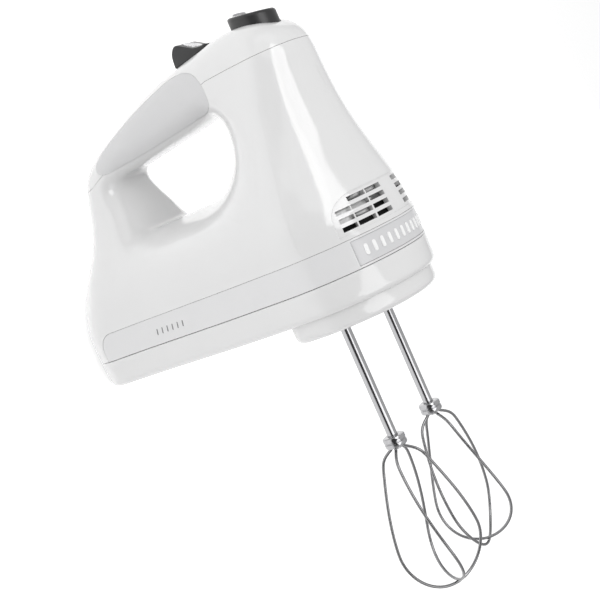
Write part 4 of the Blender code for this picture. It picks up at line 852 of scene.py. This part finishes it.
# ------------------------------------------------------------------ eject button
# A dark grey oval button, a little crowned, with a small bright marker on its rear half.
# Pressing it pushes both beaters out of their spindles.
slant, BUTTON_TOP, MARKER_X = math.tan(math.radians(11.5)), 141.7, 150.8


def button_ring(rx, ry, over, cx=BUTTON_X, steps=72):
    """An oval lying this far over the button's slanting top."""
    out = []
    for a in np.linspace(0, 2 * math.pi, steps, False):
        x, y = cx + rx * math.cos(a), ry * math.sin(a)
        out.append(row(x, y, BUTTON_TOP + over - slant * (x - BUTTON_X)))
    return out


levels = [(12.0, 10.3, -13.5), (12.0, 10.3, -1.6), (11.9, 10.2, -1.0), (11.5, 9.8, -0.45),
          (10.8, 9.1, -0.12), (9.0, 7.4, 0.0), (5.0, 4.0, 0.0)]
button = stock("eject_button_cap", stacked([button_ring(*level) for level in levels]))
dress(button, charcoal, "ejector", "charcoal", "eject_button", angle=50.0)
marker_grey = finish("marker_grey", (0.36, 0.36, 0.37), 0.3, coat=0.2, Peel_size=1200.0)
levels = [(2.8, 4.2, 0.3), (2.8, 4.2, 0.7), (2.5, 3.9, 1.1), (1.8, 3.0, 1.3), (0.8, 1.4, 1.35)]
marker = stock("eject_marker", stacked([button_ring(*level, MARKER_X, 36) for level in levels]))
dress(marker, marker_grey, "ejector", "bright", "eject_pip", angle=60.0)

# ------------------------------------------------------------------ beater shafts and collars
# Each beater is a polished stainless rod with a retaining groove at its top, two drive ears,
# and a turned collar crimped on below, where its wires go in.
stainless = finish("polished_stainless", (0.44, 0.44, 0.45), 0.14, metallic=1.0, marks=drawn,
                   Stretch=(90.0, 5000.0, 5000.0), Depth=0.05, Tone_change=0.12)
ROD, ROD_TOP, EAR_HALF, EAR_REACH = 2.5, 20.0, 0.9, 4.6
low, high = -73.0, -67.5        # the collar's ends
for side, sign in sides:
    hub = (SPINDLE_X, sign * SPINDLE_Y)
    rod = lathe("beater_rod_" + side, [
        (0, low - 1.4), (1.6, low - 1.4), (2.2, low - 0.9), (2.2, low + 0.8), (ROD, low + 1.1), (ROD, 12.0),
        (ROD - 0.5, 12.5), (ROD - 0.5, 14.0), (ROD, 14.5), (ROD, 18.4), (ROD - 0.3, 19.3),
        (ROD - 0.9, ROD_TOP), (0, ROD_TOP)], hub, steps=40)
    ears = block("drive_ears_" + side, (hub[0] - EAR_HALF, hub[1] - EAR_REACH, -5.5),
                 (hub[0] + EAR_HALF, hub[1] + EAR_REACH, -0.5))
    soften(ears, 0.3, 2)
    work(rod, "UNION", ears)
    dress(rod, stainless, "beater_" + side, "stainless", "beater_shaft_" + side)
    ring = lathe("beater_collar_ring_" + side, [
        (2.6, low + 0.3), (3.0, low), (4.7, low), (5.3, low + 0.25), (5.6, low + 0.8), (5.6, low + 2.3),
        (5.25, low + 2.6), (5.25, high - 2.6), (5.6, high - 2.3), (5.6, high - 0.9), (5.3, high - 0.3),
        (4.6, high), (3.1, high), (2.6, high - 0.3)], hub, steps=56)
    dress(ring, stainless, "beater_" + side, "stainless", "beater_collar_" + side)

# ------------------------------------------------------------------ beater wires
# Four bowed stainless wires on each beater, two loops that cross at the bottom and twist a
# quarter turn on the way.  A tube follows each loop's own path, its ends let into the collar.
wire_tree = bpy.data.node_groups.new("drawn_wire", "GeometryNodeTree")
face = wire_tree.interface
face.new_socket("Path", in_out="INPUT", socket_type="NodeSocketGeometry")
THICK = face.new_socket("Wire radius", in_out="INPUT", socket_type="NodeSocketFloat").identifier
AROUND = face.new_socket("Sides", in_out="INPUT", socket_type="NodeSocketInt").identifier
ALONG = face.new_socket("Points along", in_out="INPUT", socket_type="NodeSocketInt").identifier
METAL = face.new_socket("Metal", in_out="INPUT", socket_type="NodeSocketMaterial").identifier
face.new_socket("Wire", in_out="OUTPUT", socket_type="NodeSocketGeometry")
n = wire_tree.nodes
given, result = n.new("NodeGroupInput"), n.new("NodeGroupOutput")
line, even = n.new("GeometryNodeMeshToCurve"), n.new("GeometryNodeResampleCurve")
section, tube = n.new("GeometryNodeCurvePrimitiveCircle"), n.new("GeometryNodeCurveToMesh")
tube.inputs["Fill Caps"].default_value = True
real, painted = n.new("GeometryNodeRealizeInstances"), n.new("GeometryNodeSetMaterial")
join_up(wire_tree, (given, "Path", line, "Mesh"), (line, "Curve", even, "Curve"),
        (given, "Points along", even, "Count"), (given, "Sides", section, "Resolution"),
        (given, "Wire radius", section, "Radius"), (even, "Curve", tube, "Curve"),
        (section, "Curve", tube, "Profile Curve"), (tube, "Mesh", real, "Geometry"),
        (real, "Geometry", painted, "Geometry"), (given, "Metal", painted, "Material"),
        (painted, "Geometry", result, "Wire"))


WIRE_SIDES, WIRE_POINTS = 14, 170


def draw_wire(name, path, radius, material):
    mesh = bpy.data.meshes.new(name)
    mesh.from_pydata([row(*p) for p in path], [(k, k + 1) for k in range(len(path) - 1)], [])
    made = bpy.data.objects.new(name, mesh)
    scene.collection.objects.link(made)
    tree = made.modifiers.new("drawn_wire", "NODES")
    tree.node_group = wire_tree
    tree[THICK], tree[AROUND], tree[ALONG], tree[METAL] = radius * 0.001, WIRE_SIDES, WIRE_POINTS, material
    settle(made)
    bm = bmesh.new()
    bm.from_mesh(made.data)
    bmesh.ops.remove_doubles(bm, verts=bm.verts, dist=1e-6)
    bmesh.ops.recalc_face_normals(bm, faces=bm.faces)
    bm.to_mesh(made.data)
    bm.free()
    bench.append(made)
    return made


LOOP_LOW, BELLY, SHOULDER, MOUTH, TWIST, WIRE = -147.5, 21.0, 10.3, 3.6, 45.0, 0.75
STANDS = {"right": 10.0, "left": 58.0}       # the turn at which each beater stands


def bow(drop, length):
    """Distance of a wire from the beater's axis, this far under the collar."""
    neck, waist = 4.5, length - 23.0
    if drop < neck:
        return MOUTH + (SHOULDER - MOUTH) * math.sin(math.pi / 2 * drop / neck)
    if drop < waist:
        share = (drop - neck) / (waist - neck)
        return SHOULDER + (BELLY - SHOULDER) * (0.55 * math.sin(math.pi / 2 * share) + 0.45 * share)
    return BELLY * math.sqrt(max(0.0, 1.0 - ((drop - waist) / (length - waist)) ** 2))


# The wires' steel is set darker than the rods' stainless: its base colour is partly painted shade, standing
# in for the dark reflections along the wires.
wire_steel_painted_shade = finish("drawn_wire_steel_painted_shade", (0.25, 0.25, 0.255), 0.2, metallic=1.0, marks=drawn,
                    Stretch=(120.0, 3000.0, 3000.0), Depth=0.05, Tone_change=0.1)
length = low - LOOP_LOW
for side, sign in sides:
    hub = (SPINDLE_X, sign * SPINDLE_Y)
    for letter, quarter, shorten in (("a", 0.0, 0.0), ("b", 90.0, 2 * WIRE + GAP)):
        leg = []
        for k in range(61):
            share = math.sin(math.pi / 2 * k / 60) ** 1.15
            angle = math.radians(STANDS[side] + quarter + TWIST * share)
            r = bow(length * share, length)
            z = low - GAP - WIRE - share * (length - shorten - GAP - 2 * WIRE)
            leg.append((r * math.cos(angle), r * math.sin(angle), z))
        bend = np.array(leg)
        for _ in range(5):
            bend[1:-1] = (bend[:-2] + 2 * bend[1:-1] + bend[2:]) / 4
        x, y, z = leg[0]
        leg = [(x, y, low + 1.2), (x, y, low)] + [tuple(point) for point in bend]
        loop = leg + [(-x, -y, z) for x, y, z in leg[-2::-1]]
        loop = [(hub[0] + x, hub[1] + y, z) for x, y, z in loop]
        wire = draw_wire(f"beater_loop_{side}_{letter}", loop, WIRE, wire_steel_painted_shade)
        dress(wire, wire_steel_painted_shade, "beater_" + side, "stainless", f"beater_wire_{side}_{letter}", angle=60.0)

# ------------------------------------------------------------------ works inside
# Motor, worm drive, switch and eject gear, which the closed casing hides.  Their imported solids
# have the right shapes, so each takes its own metal or moulding: stacked electrical sheet,
# enamelled winding, turned steel, die-cast frames, natural and glass-filled nylon.
natural_nylon = finish("natural_nylon", (0.74, 0.70, 0.58), 0.45, coat=0.1, Cloud_size=90.0, Tone_change=0.08,
                       Peel_size=1400.0)
filled_nylon = finish("filled_nylon", (0.022, 0.022, 0.025), 0.55, Peel_size=2200.0, Peel_depth=0.35)
ground_steel = finish("ground_steel", (0.46, 0.47, 0.49), 0.28, metallic=1.0, marks=drawn,
                      Stretch=(4000.0, 4000.0, 80.0), Depth=0.12, Gloss_change=0.15)
spring_steel = finish("spring_steel", (0.38, 0.39, 0.41), 0.3, metallic=1.0, marks=drawn,
                      Stretch=(300.0, 2500.0, 2500.0))
sheet_stack = finish("sheet_stack", (0.17, 0.17, 0.19), 0.5, metallic=0.7, marks=drawn,
                     Stretch=(15.0, 15.0, 2400.0), Depth=0.6, Tone_change=0.5)
enamelled_wire = finish("enamelled_wire", (0.50, 0.16, 0.05), 0.3, metallic=0.6, coat=0.4, marks=drawn,
                        Stretch=(1600.0, 1600.0, 90.0), Depth=0.7, Tone_change=0.35)
turned_copper = finish("turned_copper", (0.66, 0.31, 0.16), 0.25, metallic=1.0, marks=drawn,
                       Stretch=(90.0, 90.0, 3000.0), Depth=0.15, Tone_change=0.2)
cast_aluminium = finish("cast_aluminium", (0.56, 0.57, 0.58), 0.42, metallic=1.0, Cloud_size=140.0,
                        Tone_change=0.12, Peel_size=1900.0, Peel_depth=0.5, Gloss_change=0.15)
pressed_carbon = finish("pressed_carbon", (0.018, 0.018, 0.018), 0.6, Cloud_size=300.0, Tone_change=0.4,
                        Peel_size=2600.0, Peel_depth=0.5)
clothe(natural_nylon, "slide_carrier", "eject_fork", "worm_wheel_left", "worm_wheel_right")
clothe(filled_nylon, "switch_body", "cooling_fan", "brush_holder_left", "brush_holder_right")
clothe(ground_steel, "rotor_shaft", "spindle_left", "spindle_right")
clothe(spring_steel, "detent_spring", "eject_spring")
clothe(sheet_stack, "stator_core", "armature_core")
clothe(enamelled_wire, "field_coil_upper", "field_coil_lower", "armature_winding_front",
       "armature_winding_rear")
clothe(turned_copper, "commutator")
clothe(sintered, "top_bush_left", "top_bush_right", "bearing_rear", "bearing_middle", "bearing_front")
clothe(cast_aluminium, "motor_bracket_rear", "motor_bracket_front", "gear_frame", "gear_bridge")
clothe(pressed_carbon, "brush_left", "brush_right")

for other in bench:
    bpy.data.objects.remove(other)
